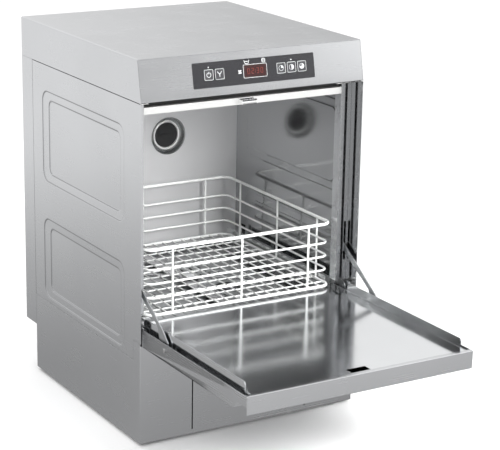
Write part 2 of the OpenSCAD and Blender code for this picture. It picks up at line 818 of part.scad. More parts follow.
module case_screws() piece("gray") {
    for (x = [-150, 0, 150]) screw_head([x, cabinet_d, hood_z + 20], [-90, 0, 0]);
    for (x = [-200, 200], z = [rear_cover_z + 20, hood_z - 60])
        screw_head([x, cabinet_d, z], [-90, 0, 0]);
}

top_cover();
control_fascia();
control_strip();
display_window();
control_housing();
control_board();
key_power();
key_drain();
key_short();
key_medium();
key_long();
left_side_panel();
right_side_panel();
door_jambs();
top_frame();
door_catch();
chamber_ceiling();
chamber_back_wall();
vent_dish();
vent_ring();
vent_plug();
wash_tank();
drip_tray();
tank_filter();
sump_strainer();
overflow_pipe();
basket_rails();
lower_spindle();
lower_wash_arm();
lower_rinse_arm();
upper_spindle();
upper_wash_arm();
upper_rinse_arm();
arm_nuts();
front_panel();
base_side_panels();
base_back_panel();
rear_cover();
base_tray();
feet();
pump_volute();
pump_motor();
pump_impeller();
delivery_pipe();
suction_pipe();
drain_pump();
drain_hose();
boiler();
tank_element();
inlet_valve();
cable_gland();
hinge_pins();
door_outer_panel();
door_inner_panel();
stay_arms();
hinge_plates();
basket_rim();
basket_sides();
basket_floor();
case_screws();
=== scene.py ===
"""Glass washer: the sheet-metal skins, controls, basket, spray arms and finishes round the CAD frame.

Laid out as an add-on with one operator for each group of pieces. All sizes are in metres.
"""

import json
import math

import bmesh
import bpy
import numpy as np
from bpy.props import FloatProperty, FloatVectorProperty, IntProperty, PointerProperty
from mathutils import Matrix, Vector


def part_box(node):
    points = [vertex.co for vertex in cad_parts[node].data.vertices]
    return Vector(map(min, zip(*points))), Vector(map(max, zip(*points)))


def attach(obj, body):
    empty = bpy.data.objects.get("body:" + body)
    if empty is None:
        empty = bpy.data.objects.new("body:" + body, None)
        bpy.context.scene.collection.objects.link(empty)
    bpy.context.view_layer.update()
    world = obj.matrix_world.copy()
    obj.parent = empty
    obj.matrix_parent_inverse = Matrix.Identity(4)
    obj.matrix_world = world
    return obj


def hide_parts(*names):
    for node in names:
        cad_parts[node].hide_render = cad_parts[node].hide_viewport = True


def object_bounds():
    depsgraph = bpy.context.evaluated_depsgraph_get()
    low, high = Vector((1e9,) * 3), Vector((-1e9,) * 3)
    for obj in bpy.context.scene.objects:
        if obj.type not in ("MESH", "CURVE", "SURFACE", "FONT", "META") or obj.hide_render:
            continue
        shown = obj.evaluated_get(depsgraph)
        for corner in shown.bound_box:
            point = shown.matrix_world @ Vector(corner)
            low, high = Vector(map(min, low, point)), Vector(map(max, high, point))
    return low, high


bl_info = {
    "name": "Glass washer",
    "version": (1, 0, 0),
    "blender": (4, 5, 0),
    "location": "3D View > Sidebar > Glass washer",
    "description": "Builds the skins, controls, basket and finishes of an undercounter glass washer",
    "category": "Object",
}

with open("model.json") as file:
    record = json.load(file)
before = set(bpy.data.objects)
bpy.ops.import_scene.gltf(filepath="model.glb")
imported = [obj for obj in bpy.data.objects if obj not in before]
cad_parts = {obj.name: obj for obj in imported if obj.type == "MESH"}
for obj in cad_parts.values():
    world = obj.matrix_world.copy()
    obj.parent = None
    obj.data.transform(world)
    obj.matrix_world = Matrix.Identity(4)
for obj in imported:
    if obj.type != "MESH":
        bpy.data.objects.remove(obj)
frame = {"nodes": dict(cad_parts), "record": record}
CAD_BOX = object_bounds()
MM = 0.001


def corners(node):
    """The lowest and highest corner of a CAD node, as arrays."""
    low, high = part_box(node)
    return np.array(low), np.array(high)


def joint(name):
    """The record's entry for one joint."""
    return next(j for j in frame["record"]["behaviour"]["joints"] if j["name"] == name)


SHEET = 1.2 * MM
SAME_POINT = 1e-6
HOOD_LOW, HOOD_HIGH = corners("top_cover")
FRONT_Y = HOOD_LOW[1]
STRIP_LOW, STRIP_HIGH = corners("control_strip")
INWARD = np.array(joint("key_power_press")["axis"])
OUTWARD = -INWARD / np.linalg.norm(INWARD)
UP_SLOPE = np.array([0.0, OUTWARD[2], -OUTWARD[1]])
SLOPE = UP_SLOPE[1] / UP_SLOPE[2]
STRIP_T = 0.8 * MM
STRIP_MIDDLE = (STRIP_LOW + STRIP_HIGH) / 2 - OUTWARD * STRIP_T / 2
KEYS = ("key_power", "key_drain", "key_short", "key_medium", "key_long")


# ---- Surfaces ----


class Surface:
    """Patches of quads, each worked out as one array of points, gathered into one mesh."""

    def __init__(self):
        self.points = []
        self.faces = []
        self.count = 0

    def patch(self, grid, wrap_u=False, wrap_v=False, leave_out=None, cap=False):
        """Adds a grid of points (n, m, 3): one quad for each four neighbours, wrapped where asked.

        leave_out marks the quads that are missing, and cap closes the two ends across u."""
        grid = np.asarray(grid, float)
        n, m = grid.shape[:2]
        ids = np.arange(n * m).reshape(n, m) + self.count
        ends = (ids[0], ids[-1])
        if wrap_u:
            ids = np.vstack([ids, ids[:1]])
        if wrap_v:
            ids = np.hstack([ids, ids[:, :1]])
        quads = np.stack([ids[:-1, :-1], ids[1:, :-1], ids[1:, 1:], ids[:-1, 1:]], -1)
        keep = np.ones(quads.shape[:2], bool) if leave_out is None else ~leave_out
        self.faces += quads[keep].tolist()
        if cap:
            self.faces += [ends[0][::-1].tolist(), ends[1].tolist()]
        self.points.append(grid.reshape(-1, 3))
        self.count += n * m
        return self

    def box(self, low, high):
        """Adds a closed box between two corners, as the eight corners joined by six faces."""
        low, high = np.minimum(low, high), np.maximum(low, high)
        pick = np.array([[i >> 2 & 1, i >> 1 & 1, i & 1] for i in range(8)], bool)
        base = self.count
        sides = [(0, 1, 3, 2), (4, 6, 7, 5), (0, 4, 5, 1), (2, 3, 7, 6), (0, 2, 6, 4), (1, 5, 7, 3)]
        self.points.append(np.where(pick, high, low))
        self.faces += [[base + i for i in side] for side in sides]
        self.count += 8
        return self

    def tube(self, path, radius, sides=10, closed=False):
        """Adds a round wire: at each path point a circle lies square to the path's direction."""
        path = np.asarray(path, float)
        if closed:
            along = np.roll(path, -1, 0) - np.roll(path, 1, 0)
        else:
            along = np.gradient(path, axis=0)
        along /= np.linalg.norm(along, axis=1, keepdims=True)
        spread = np.ptp(path, axis=0)
        guide = np.eye(3)[np.argmin(spread)]
        side = np.cross(along, guide)
        side /= np.linalg.norm(side, axis=1, keepdims=True)
        over = np.cross(side, along)
        turn = np.arange(sides) * 2 * np.pi / sides
        ring = np.cos(turn)[None, :, None] * side[:, None] + np.sin(turn)[None, :, None] * over[:, None]
        radius = np.broadcast_to(np.asarray(radius, float), (len(path),))[:, None, None]
        return self.patch(path[:, None] + ring * radius, closed, True, cap=not closed)

    def lathe(self, profile, centre, axis=(0, 0, 1), steps=48, closed=False):
        """Adds a turned piece: each (radius, height) of the profile swept in a circle about the axis."""
        profile = np.asarray(profile, float)
        axis = np.array(axis, float)
        first = np.cross(axis, (0, 1, 0) if abs(axis[1]) < 0.9 else (1, 0, 0))
        first /= np.linalg.norm(first)
        second = np.cross(axis, first)
        turn = np.arange(steps) * 2 * np.pi / steps
        ring = np.cos(turn)[:, None] * first + np.sin(turn)[:, None] * second
        grid = profile[:, None, 0, None] * ring[None] + profile[:, None, 1, None] * axis
        return self.patch(np.array(centre) + grid, closed, True)

    def along_x(self, outline, x0, x1):
        """Adds a folded strip: an open outline of (y, z) points carried from x0 to x1."""
        outline = np.asarray(outline, float)
        grid = np.empty((2, len(outline), 3))
        grid[..., 0] = np.array([x0, x1])[:, None]
        grid[..., 1:] = outline
        return self.patch(grid)

    def mesh(self, name, outward=True):
        """Turns the patches into one mesh, with shared points merged and faces pointing outwards."""
        data = bpy.data.meshes.new(name)
        data.from_pydata(np.concatenate(self.points).tolist(), [], self.faces)
        work = bmesh.new()
        work.from_mesh(data)
        bmesh.ops.remove_doubles(work, verts=work.verts, dist=SAME_POINT)
        if outward:
            bmesh.ops.recalc_face_normals(work, faces=work.faces)
        work.to_mesh(data)
        work.free()
        return data


def add_piece(name, shape, material, body, node=None, smooth=35, outward=True):
    """Places a surface or a mesh as a piece that rides a body and takes its finish from a slot."""
    data = shape.mesh(name, outward) if isinstance(shape, Surface) else shape
    piece = bpy.data.objects.new(name, data)
    bpy.context.scene.collection.objects.link(piece)
    if smooth:
        data.polygons.foreach_set("use_smooth", np.ones(len(data.polygons), bool))
        data.set_sharp_from_angle(angle=math.radians(smooth))
    data.materials.append(material)
    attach(piece, body)
    if node:
        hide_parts(node)
    return piece


def settle(piece, angle):
    """Bakes the modifiers into the mesh, marks edges over an angle as sharp and evens out the shading."""
    graph = bpy.context.evaluated_depsgraph_get()
    baked = bpy.data.meshes.new_from_object(piece.evaluated_get(graph))
    piece.modifiers.clear()
    old, piece.data = piece.data, baked
    bpy.data.meshes.remove(old)
    baked.name = piece.name
    baked.polygons.foreach_set("use_smooth", np.ones(len(baked.polygons), bool))
    baked.set_sharp_from_angle(angle=math.radians(angle))
    even = piece.modifiers.new("even shading", "WEIGHTED_NORMAL")
    even.keep_sharp = True
    return piece


def round_edges(piece, width, steps, angle):
    """Rounds every edge that is sharper than an angle."""
    bevel = piece.modifiers.new("edges", "BEVEL")
    bevel.width = width
    bevel.segments = steps
    bevel.limit_method = "ANGLE"
    bevel.angle_limit = math.radians(angle)


def fold(piece, radius, facing=None, thickness=SHEET, offset=-1.0, inner=None):
    """Rounds the folds of a one-skin sheet and gives it its thickness, with its own finish inside.

    Where facing is given, the skin is first turned so that its largest face looks that way."""
    if facing:
        widest = max(piece.data.polygons, key=lambda face: face.area)
        if widest.normal.dot(Vector(facing)) < 0:
            piece.data.flip_normals()
    if radius:
        round_edges(piece, radius, 4, 40)
    wall = piece.modifiers.new("thickness", "SOLIDIFY")
    wall.thickness = thickness
    wall.offset = offset
    if inner:
        piece.data.materials.append(inner)
        wall.material_offset = 1
    return settle(piece, 40)


def softened_copy(node, name, material, width, steps=2):
    """A copy of a CAD node with its flat faces rejoined and its edges rounded by a small bevel."""
    source = frame["nodes"][node]
    data = source.data.copy()
    data.materials.clear()
    work = bmesh.new()
    work.from_mesh(data)
    bmesh.ops.remove_doubles(work, verts=work.verts, dist=2 * SAME_POINT)
    bmesh.ops.dissolve_limit(work, angle_limit=math.radians(1), verts=work.verts, edges=work.edges)
    work.to_mesh(data)
    work.free()
    body = next(b for b, nodes in frame["record"]["behaviour"]["bodies"].items() if node in nodes)
    piece = add_piece(name, data, material, body, node, smooth=30)
    round_edges(piece, width, steps, 35)
    return settle(piece, 50)


def rounded_loop(half_x, half_y, radius, steps=8):
    """Points round a rectangle with arc corners, anticlockwise from above: (n, 2)."""
    quarter = np.linspace(0, np.pi / 2, steps + 1)
    turn = np.concatenate([quarter + k * np.pi / 2 for k in range(4)])
    middle = np.array([[1, 1], [-1, 1], [-1, -1], [1, -1]]) * (half_x - radius, half_y - radius)
    return np.repeat(middle, steps + 1, 0) + radius * np.stack([np.cos(turn), np.sin(turn)], -1)


def graded(low, high, coarse, fine, bands):
    """Grid lines from low to high, coarse everywhere and fine inside each band."""
    lines = [np.linspace(low, high, max(2, round((high - low) / coarse) + 1))]
    lines += [np.linspace(a, b, round((b - a) / fine) + 1) for a, b in bands]
    lines = np.sort(np.concatenate(lines))
    lines = lines[(lines >= low) & (lines <= high)]
    return lines[np.concatenate([[True], np.diff(lines) > fine * 0.4])]


def smooth_step(t):
    """0 below 0, 1 above 1 and 3t^2 - 2t^3 between."""
    t = np.clip(t, 0, 1)
    return t * t * (3 - 2 * t)


def rounded_distance(y, z, low, high, radius):
    """Signed distance from a rectangle with round corners, negative inside it."""
    middle = (np.array(low) + high) / 2
    half = (np.array(high) - low) / 2 - radius
    dy = np.abs(y - middle[0]) - half[0]
    dz = np.abs(z - middle[1]) - half[1]
    outside = np.hypot(np.maximum(dy, 0), np.maximum(dz, 0))
    return outside + np.minimum(np.maximum(dy, dz), 0) - radius


# ---- Materials ----


class Socket:
    """One output of a shader node, which ordinary arithmetic turns into Math nodes."""

    def __init__(self, graph, output):
        self.graph = graph
        self.output = output

    def _math(self, operation, first, second):
        """One Math node on two values, each a number or a node's output."""
        return self.graph.node("ShaderNodeMath", {0: first, 1: second}, operation=operation)

    def __add__(self, other):
        return self._math("ADD", self, other)

    def __sub__(self, other):
        return self._math("SUBTRACT", self, other)

    def __mul__(self, other):
        return self._math("MULTIPLY", self, other)

    def __rsub__(self, other):
        return self._math("SUBTRACT", other, self)

    __radd__ = __add__
    __rmul__ = __mul__


class Graph:
    """A node tree that nodes are added to, with their sockets filled as they are made."""

    def __init__(self, tree):
        self.tree = tree

    def node(self, kind, inputs=None, out=0, ramp=None, **settings):
        """Adds a node of a kind, sets its settings and ramp first, then its sockets' values or links."""
        made = self.tree.nodes.new(kind)
        for key, value in settings.items():
            setattr(made, key, value)
        if ramp:
            while len(made.color_ramp.elements) < len(ramp):
                made.color_ramp.elements.new(0.5)
            for element, (place, grey) in zip(made.color_ramp.elements, ramp):
                element.position = place
                element.color = (grey, grey, grey, 1)
        for key, value in (inputs or {}).items():
            self.feed(made.inputs[key], value)
        return Socket(self, made.outputs[out])

    def feed(self, socket, value):
        """Links a socket to another node's output, or sets its value."""
        if isinstance(value, Socket):
            self.tree.links.new(value.output, socket)
        else:
            socket.default_value = value

    def blend(self, amount, first, second):
        """A colour between two colours, each a plain colour or a node's output."""
        first, second = (c if isinstance(c, Socket) else (*c, 1) for c in (first, second))
        return self.node("ShaderNodeMix", {0: amount, 6: first, 7: second}, out=2, data_type="RGBA")


class Paint(Graph):
    """One procedural material on a Principled shader."""

    def __init__(self, name, **values):
        self.material = bpy.data.materials.new(name)
        self.material.use_nodes = True
        super().__init__(self.material.node_tree)
        self.shader = self.tree.nodes["Principled BSDF"]
        for socket, value in values.items():
            self.set(socket.replace("_", " "), value)

    def place(self, scale=(1, 1, 1)):
        """Object coordinates, stretched by a scale for each axis."""
        where = self.node("ShaderNodeTexCoord", out="Object")
        return self.node("ShaderNodeMapping", {"Vector": where, "Scale": scale})

    def noise(self, scale, detail=3.0, stretch=(1, 1, 1)):
        """Fractal noise between 0 and 1 on Object coordinates."""
        settings = {"Vector": self.place(stretch), "Scale": scale, "Detail": detail}
        return self.node("ShaderNodeTexNoise", settings, out="Fac")

    def bump(self, height, strength, distance):
        """Feeds the shader's Normal from a height."""
        made = self.node("ShaderNodeBump", {"Strength": strength, "Distance": distance, "Height": height})
        self.set("Normal", made)

    def set(self, socket, value):
        """Fills one of the shader's own sockets."""
        self.feed(self.shader.inputs[socket], value)


def shade(colour, factor):
    """A colour multiplied by a factor."""
    return tuple(min(1.0, c * factor) for c in colour)


GRAIN = {"x": (1.5, 900, 900), "y": (900, 1.5, 900), "z": (900, 900, 1.5)}


def brushed_steel(name, colour, roughness, grain="y", depth=0.007, clouds=0.04, metallic=1.0, crease=0.0):
    """Stainless sheet: fine scratches along one axis, with faint clouds and wiping marks.

    Where the painted shade share is above 0, shade is painted into the grooves and seams: the metal darkens
    by that share towards near black where the mesh's mask for it is 1."""
    paint = Paint(name, Metallic=metallic)
    scratch = paint.noise(1.0, 2.0, GRAIN[grain])
    smear = paint.noise(7.0, 4.0)
    wipe = paint.noise(16.0, 3.0, (1, 1, 2.2))
    tone = paint.blend(smear, shade(colour, 1 - clouds), shade(colour, 1 + clouds))
    # Painted shade: the metal's colour is darkened along the grooves and the seam, where shade would fall.
    if crease:
        held = paint.node("ShaderNodeAttribute", out="Fac", attribute_name="crease")
        tone = paint.blend(held * crease, tone, shade(colour, 0.05))
    paint.set("Base Color", tone)
    paint.set("Roughness", roughness - 0.05 + wipe * 0.08 + scratch * 0.06)
    paint.bump(scratch, depth, 0.00006)
    return paint.material


def moulded(name, colour, roughness=0.45, speckle=900.0, depth=0.15, coat=0.0):
    """Moulded plastic or rubber: a fine pebble in the surface and slight dulling in patches."""
    paint = Paint(name, Coat_Weight=coat)
    grain = paint.noise(speckle, 2.0)
    patches = paint.noise(12.0, 4.0)
    paint.set("Base Color", paint.blend(patches, shade(colour, 0.88), shade(colour, 1.1)))
    paint.set("Roughness", roughness - 0.06 + patches * 0.12)
    paint.bump(grain, depth, 0.0001)
    return paint.material


def coated_wire(name, colour):
    """Thick dipped nylon on wire: glossy, slightly uneven, a little grey where it has worn."""
    paint = Paint(name, Coat_Weight=0.3, Coat_Roughness=0.15)
    lumps = paint.noise(160.0, 3.0)
    wear = paint.node("ShaderNodeValToRGB", {"Fac": paint.noise(26.0, 5.0)}, ramp=[(0.52, 0.0), (0.8, 1.0)])
    paint.set("Base Color", paint.blend(wear, colour, shade(colour, 0.86)))
    paint.set("Roughness", 0.28 + lumps * 0.14)
    paint.bump(lumps, 0.2, 0.0004)
    return paint.material


def glowing(name, colour, strength):
    """A lit segment behind dark plastic, a little uneven across its face."""
    paint = Paint(name, Roughness=0.4, Emission_Strength=strength)
    patches = paint.noise(300.0, 2.0)
    paint.set("Base Color", paint.blend(patches, shade(colour, 0.05), shade(colour, 0.08)))
    paint.set("Emission Color", paint.blend(patches, shade(colour, 0.8), colour))
    return paint.material


def printed(name, colour):
    """Screen-printed ink: matt, with the faint mottle of the mesh."""
    paint = Paint(name)
    mottle = paint.noise(1500.0, 1.0)
    paint.set("Base Color", paint.blend(mottle, shade(colour, 0.9), colour))
    paint.set("Roughness", 0.5 + mottle * 0.15)
    return paint.material


def circuit_board(name):
    """Green lacquered board with paler copper tracks under the lacquer."""
    paint = Paint(name, Coat_Weight=0.5)
    layout = {"Vector": paint.place((60, 60, 60)), "Scale": 6.0, "Mortar Size": 0.02}
    tracks = paint.node("ShaderNodeTexBrick", layout, out="Fac")
    paint.set("Base Color", paint.blend(tracks, (0.01, 0.09, 0.03), (0.05, 0.2, 0.08)))
    paint.set("Roughness", 0.3 + paint.noise(50.0) * 0.2)
    return paint.material


def colour_property(name, description, default):
    """A colour that the panel shows."""
    return FloatVectorProperty(name=name, description=description, subtype="COLOR", default=default)


def length_property(name, description, default):
    """A length that the panel shows."""
    return FloatProperty(name=name, description=description, unit="LENGTH", default=default)


def count_property(name, description, default):
    """A number of wires that the panel shows."""
    return IntProperty(name=name, description=description, min=5, default=default)


class WasherFinish(bpy.types.PropertyGroup):
    """Colours and gloss that a user would change."""

    casing: colour_property("Casing", "Colour of the outer stainless sheet", (0.58, 0.587, 0.6))
    chamber: colour_property("Chamber", "Colour of the chamber's sheet", (0.55, 0.56, 0.56))
    # Painted highlight: this lighter colour brightens the doorway's top bar.
    bright: colour_property("Bright trim", "Colour of the doorway frame", (0.8, 0.8, 0.79))
    wire: colour_property("Basket wire", "Colour of the coated wire", (0.86, 0.87, 0.86))
    strip: colour_property("Control strip", "Colour of the control strip", (0.012, 0.012, 0.014))
    digits: colour_property("Digits", "Colour of the lit digits", (0.85, 0.08, 0.03))
    satin: FloatProperty(
        name="Satin", description="Roughness of the outer sheet", default=0.24, min=0.1, max=0.7,
        subtype="FACTOR",
    )


class WasherSizes(bpy.types.PropertyGroup):
    """Sizes that a user would change."""

    fold_radius: length_property("Fold radius", "Outer radius of the folded sheet", 2.4 * MM)
    press_step: length_property("Pressing step", "Height of each step of a pressed field", 1.25 * MM)
    floor_wires: count_property("Floor wires", "Wires along the basket's floor", 17)
    cross_wires: count_property("Cross wires", "Wires across the basket's floor", 11)


_palette = {}


def finish(name, make, *args, **settings):
    """The material of that name, made the first time it is asked for."""
    if name not in _palette:
        _palette[name] = make(name, *args, **settings)
    return _palette[name]


def colours():
    """The colours and gloss set in the panel."""
    return bpy.context.scene.washer_finish


def sizes():
    """The sizes set in the panel."""
    return bpy.context.scene.washer_sizes


def steel(name, *values, **settings):
    """A brushed steel of that name."""
    return finish(name, brushed_steel, *values, **settings)


def plastic(name, *values):
    """A moulded plastic or rubber of that name."""
    return finish(name, moulded, *values)


def casing_steel(grain="y"):
    """The outer sheet, with its grain along an axis."""
    look = colours()
    return steel("casing_steel_" + grain, tuple(look.casing), look.satin, grain)


def chamber_steel(grain):
    """The sheet inside the washing chamber, with its grain along an axis."""
    return steel("chamber_steel_" + grain, tuple(colours().chamber), 0.2, grain, 0.06)


def screw_steel():
    """The zinc-plated steel of the screws."""
    return steel("screw_steel", (0.5, 0.5, 0.5), 0.25, "z", 0.05, 0.1)


def bracket_steel():
    """The dull steel of the stay arms, hinge plates and pins."""
    return steel("bracket_steel", (0.42, 0.43, 0.44), 0.3, "z", 0.08)


def black_plastic():
    """The black plastic of the vent's plug, the gland and the control housing."""
    return plastic("black_plastic", (0.02, 0.02, 0.021), 0.4)


def soft_rubber():
    """The rubber of the feet, whose black also fills the painted shade strip over the doorway."""
    return plastic("foot_rubber", (0.012, 0.012, 0.012), 0.6, 500.0, 0.3)


# ---- Pieces ----


def build_hood():
    """The hood: two side skirts, a back skirt and the top, in one skin with rounded folds."""
    low, high = HOOD_LOW, HOOD_HIGH
    setback = (high[2] - low[2]) * SLOPE
    across = np.array([low[0], low[0], high[0], high[0]])
    height = np.array([low[2], high[2], high[2], low[2]])
    skin = np.empty((2, 4, 3))
    skin[..., 0] = across
    skin[..., 2] = height
    skin[0, :, 1] = low[1] + setback * (height - low[2]) / (high[2] - low[2])
    skin[1, :, 1] = high[1]
    surface = Surface().patch(skin)
    surface.patch(np.stack([skin[1][[0, 3]], skin[1][[1, 2]]]))
    piece = add_piece("hood_skin", surface, casing_steel("x"), "cabinet", "top_cover", 0)
    fold(piece, sizes().fold_radius, (0, 0, 1))


class WASHER_OT_hood(bpy.types.Operator):
    """Builds the hood and the sloping fascia."""

    bl_idname = "washer.hood"
    bl_label = "Hood and fascia"

    def execute(self, context):
        build_hood()
        build_fascia()
        return {"FINISHED"}


def build_fascia():
    """The sloping front: a face with a window for the controls, and the lip folded back under it."""
    low, high = corners("control_fascia")
    window_low, window_high = corners("control_housing")
    overlap, reach = 6 * MM, 17 * MM * UP_SLOPE[2]
    x = np.array([low[0], window_low[0] + overlap, window_high[0] - overlap, high[0]])
    z = np.array([low[2], STRIP_MIDDLE[2] - reach, STRIP_MIDDLE[2] + reach, high[2]])
    grid = np.empty((5, 4, 3))
    grid[..., 0] = x
    grid[1:, :, 2] = z[:, None]
    grid[1:, :, 1] = FRONT_Y + (z[:, None] - HOOD_LOW[2]) * SLOPE
    grid[0, :, 2] = low[2]
    grid[0, :, 1] = high[1]
    hole = np.zeros((4, 3), bool)
    hole[2, 1] = True
    surface = Surface().patch(grid, leave_out=hole)
    name, metal = "fascia_skin", casing_steel("x")
    piece = add_piece(name, surface, metal, "cabinet", "control_fascia", 0, outward=False)
    fold(piece, sizes().fold_radius, (0, -1, -1))


def build_side_skin(sign, node, name):
    """A side panel: each field is pressed in by two small steps, one round its edge and one further in.

    depth = step * S(d / 1.6mm) + slope + step * S(e / 1.6mm), d being the distance inside the field's
    outer edge and e the distance inside its inner edge, with a fine groove along each edge. The lower
    front corner is cut away, and the top stops a little short of the hood. Shade is painted into the
    grooves and along the seam at the back: the mesh carries a mask there that darkens the metal."""
    low, high = corners(node)
    hood_gap, seam, step_width, margin, deep_margin = 1 * MM, 0.8 * MM, 1.6 * MM, 16 * MM, 26 * MM
    coarse, fine, near, wide = 12 * MM, 0.55 * MM, 2 * MM, 32 * MM
    high[2] -= hood_gap
    notch_y = FRONT_Y + 30.4 * MM
    notch_z = corners("front_panel")[1][2] + 0.4 * MM
    front, back = low[1] + 66 * MM, low[1] + 410 * MM
    heights = low[2] + np.array([[10.1, 170.6], [246.1, 423.6]]) * MM
    y_bands = [(front - near, front + wide), (back - wide, back + near)]
    z_bands = [(foot - near, foot + wide) for foot in heights[:, 0]]
    z_bands += [(top - wide, top + near) for top in heights[:, 1]]
    y = graded(low[1], high[1], coarse, fine, y_bands)
    y = np.sort(np.append(y, (notch_y, high[1] - seam, high[1] - 2 * seam)))
    z = np.sort(np.append(graded(low[2], high[2], coarse, fine, z_bands), notch_z))
    yy, zz = np.meshgrid(y, z, indexing="ij")
    step = sizes().press_step
    # The painted shade starts along the seam at the back, where the metal is painted darker.
    depth, crease = np.zeros_like(yy), np.clip(2 - (high[1] - yy) / seam, 0, 1)
    for foot, top in heights:
        outer_d = -rounded_distance(yy, zz, (front, foot), (back, top), 22 * MM)
        inner_low, inner_high = (front + margin, foot + margin), (back - deep_margin, top - margin)
        inner_d = -rounded_distance(yy, zz, inner_low, inner_high, 14 * MM)
        depth += step * smooth_step(outer_d / step_width) + 0.4 * MM * np.clip(outer_d / margin, 0, 1)
        depth += step * smooth_step(inner_d / step_width)
        grooves = np.exp(-((outer_d / MM) ** 2)) + np.exp(-((inner_d / MM) ** 2))
        depth += 0.45 * MM * grooves
        # Each groove adds painted shade to the metal's colour.
        crease += grooves
    outer = high[0] if sign > 0 else -low[0]
    cut = (yy[1:, 1:] <= notch_y + 1e-9) & (zz[1:, 1:] <= notch_z + 1e-9)
    skin = np.stack([sign * (outer - depth), yy, zz], -1)
    if sign < 0:
        skin, cut, crease = skin[::-1], cut[::-1], crease[::-1]
    data = Surface().patch(skin, leave_out=cut).mesh(name, outward=False)
    data.attributes.new("crease", "FLOAT", "POINT").data.foreach_set("value", np.minimum(crease, 1).ravel())
    look = colours()
    # This steel paints shade into the grooves and the back seam.
    outside = steel("pressed_steel", tuple(look.casing), look.satin, "y", crease=0.55)
    # Painted shade: the inside of the side panels gets a darker copy of the chamber's steel, so the chamber's
    # side walls look dark.
    inside = steel("chamber_side_steel", (0.36, 0.365, 0.37), 0.09, "y")
    piece = add_piece(name, data, outside, "cabinet", node, 50)
    fold(piece, 0, (sign, 0, 0), inner=inside)


class WASHER_OT_sides(bpy.types.Operator):
    """Builds the two side panels with their pressed fields."""

    bl_idname = "washer.sides"
    bl_label = "Side panels"

    def execute(self, context):
        build_side_skin(-1, "left_side_panel", "left_side_skin")
        build_side_skin(1, "right_side_panel", "right_side_skin")
        return {"FINISHED"}


def build_front_panel():
    """The base's front: a face with two narrow slots and a side return at each end."""
    low, high = corners("front_panel")
    slot_x, slot_half, slot_foot, slot_top, door_gap = 122 * MM, 1.2 * MM, low[2] + 8 * MM, 116 * MM, 5.4 * MM
    slot_edges = np.array([-slot_x, slot_x])[:, None] + (-slot_half, slot_half)
    x = np.array([low[0], *slot_edges.ravel(), high[0]])
    z = np.array([low[2], slot_foot, slot_top, high[2] - door_gap])
    face = np.empty((len(x), len(z), 3))
    face[..., 0] = x[:, None]
    face[..., 1] = low[1]
    face[..., 2] = z
    slots = np.zeros((len(x) - 1, len(z) - 1), bool)
    slots[[1, 3], 1] = True
    surface = Surface().patch(face, leave_out=slots)
    for side in (low[0], high[0]):
        back = np.empty((2, len(z) + 1, 3))
        back[..., 0] = side
        back[..., 1] = np.array([low[1], high[1]])[:, None]
        back[..., 2] = np.append(z, high[2])
        surface.patch(back)
    metal = casing_steel("x")
    piece = add_piece("front_panel_skin", surface, metal, "cabinet", "front_panel", 0)
    fold(piece, sizes().fold_radius, (0, -1, 0))


def build_rear_cover():
    """The raised back: two sides, the back and the floor of the cover, folded from one sheet."""
    low, high = corners("rear_cover")
    outline = np.array([[low[0], low[1]], [low[0], high[1]], [high[0], high[1]], [high[0], low[1]]])
    wall = np.empty((2, 4, 3))
    wall[..., :2] = outline
    wall[..., 2] = np.array([low[2], high[2]])[:, None]
    surface = Surface().patch(wall)
    surface.patch(np.stack([wall[0][[0, 1]], wall[0][[3, 2]]]))
    metal = casing_steel("z")
    piece = add_piece("rear_cover_skin", surface, metal, "cabinet", "rear_cover", 0)
    fold(piece, sizes().fold_radius, (0, 1, 0))


class WASHER_OT_base(bpy.types.Operator):
    """Builds the base panels, the rear cover and the feet."""

    bl_idname = "washer.base"
    bl_label = "Base and back"

    def execute(self, context):
        build_front_panel()
        build_rear_cover()
        softened_copy("base_side_panels", "base_side_skins", casing_steel("y"), 0.4 * MM)
        softened_copy("base_back_panel", "base_back_skin", casing_steel("x"), 0.3 * MM)
        build_feet()
        return {"FINISHED"}


def build_feet():
    """Four rubber feet: a short turned pad with a rounded rim."""
    low, high = corners("feet")
    radius, height, round_off = 20 * MM, high[2] - low[2], 1.2 * MM
    arc = np.linspace(0, np.pi / 2, 5)
    rim = np.stack([radius - round_off * (1 - np.sin(arc)), round_off * (1 - np.cos(arc))], -1)
    profile = np.concatenate([[[0, 0]], rim, [[radius, height], [0, height]]])
    surface = Surface()
    for x in (low[0] + radius, high[0] - radius):
        for y in (low[1] + radius, high[1] - radius):
            surface.lathe(profile, (x, y, low[2]))
    add_piece("rubber_feet", surface, soft_rubber(), "cabinet", "feet")


class WASHER_OT_doorway(bpy.types.Operator):
    """Builds the frame round the doorway."""

    bl_idname = "washer.doorway"
    bl_label = "Doorway"

    def execute(self, context):
        softened_copy("door_jambs", "doorway_posts", casing_steel("z"), 0.5 * MM)
        # Painted highlight: the doorway's top bar, the front flange of the chamber's ceiling, gets a lighter
        # and less metallic steel than the ceiling and the posts, so it shows bright as if lit.
        bright = steel("bright_steel", tuple(colours().bright), 0.3, "x", 0.06, 0.04, 0.85)
        softened_copy("top_frame", "doorway_top", bright, 0.5 * MM)
        chrome = steel("chrome_trim", (0.9, 0.9, 0.9), 0.08, "y", 0.02, 0.02)
        softened_copy("door_catch", "door_catch_body", chrome, 0.3 * MM)
        # Painted shade: a black strip fills the recess over the doorway.
        build_top_shade_strip()
        return {"FINISHED"}


def build_top_shade_strip():
    """A black strip of the feet's rubber in the recess over the doorway: painted shade, a dark box put where
    the fascia's shadow falls.
    """
    top = corners("top_frame")[1][2]
    half = corners("door_jambs")[1][0] - 24 * MM
    recess_back, recess_depth, deep, gap = FRONT_Y + 50 * MM, 8 * MM, 4 * MM, 0.1 * MM
    front_foot = (-half, recess_back - deep, top - recess_depth + gap)
    surface = Surface().box(front_foot, (half, recess_back - gap, top))
    add_piece("doorway_top_shade_strip", surface, soft_rubber(), "cabinet")


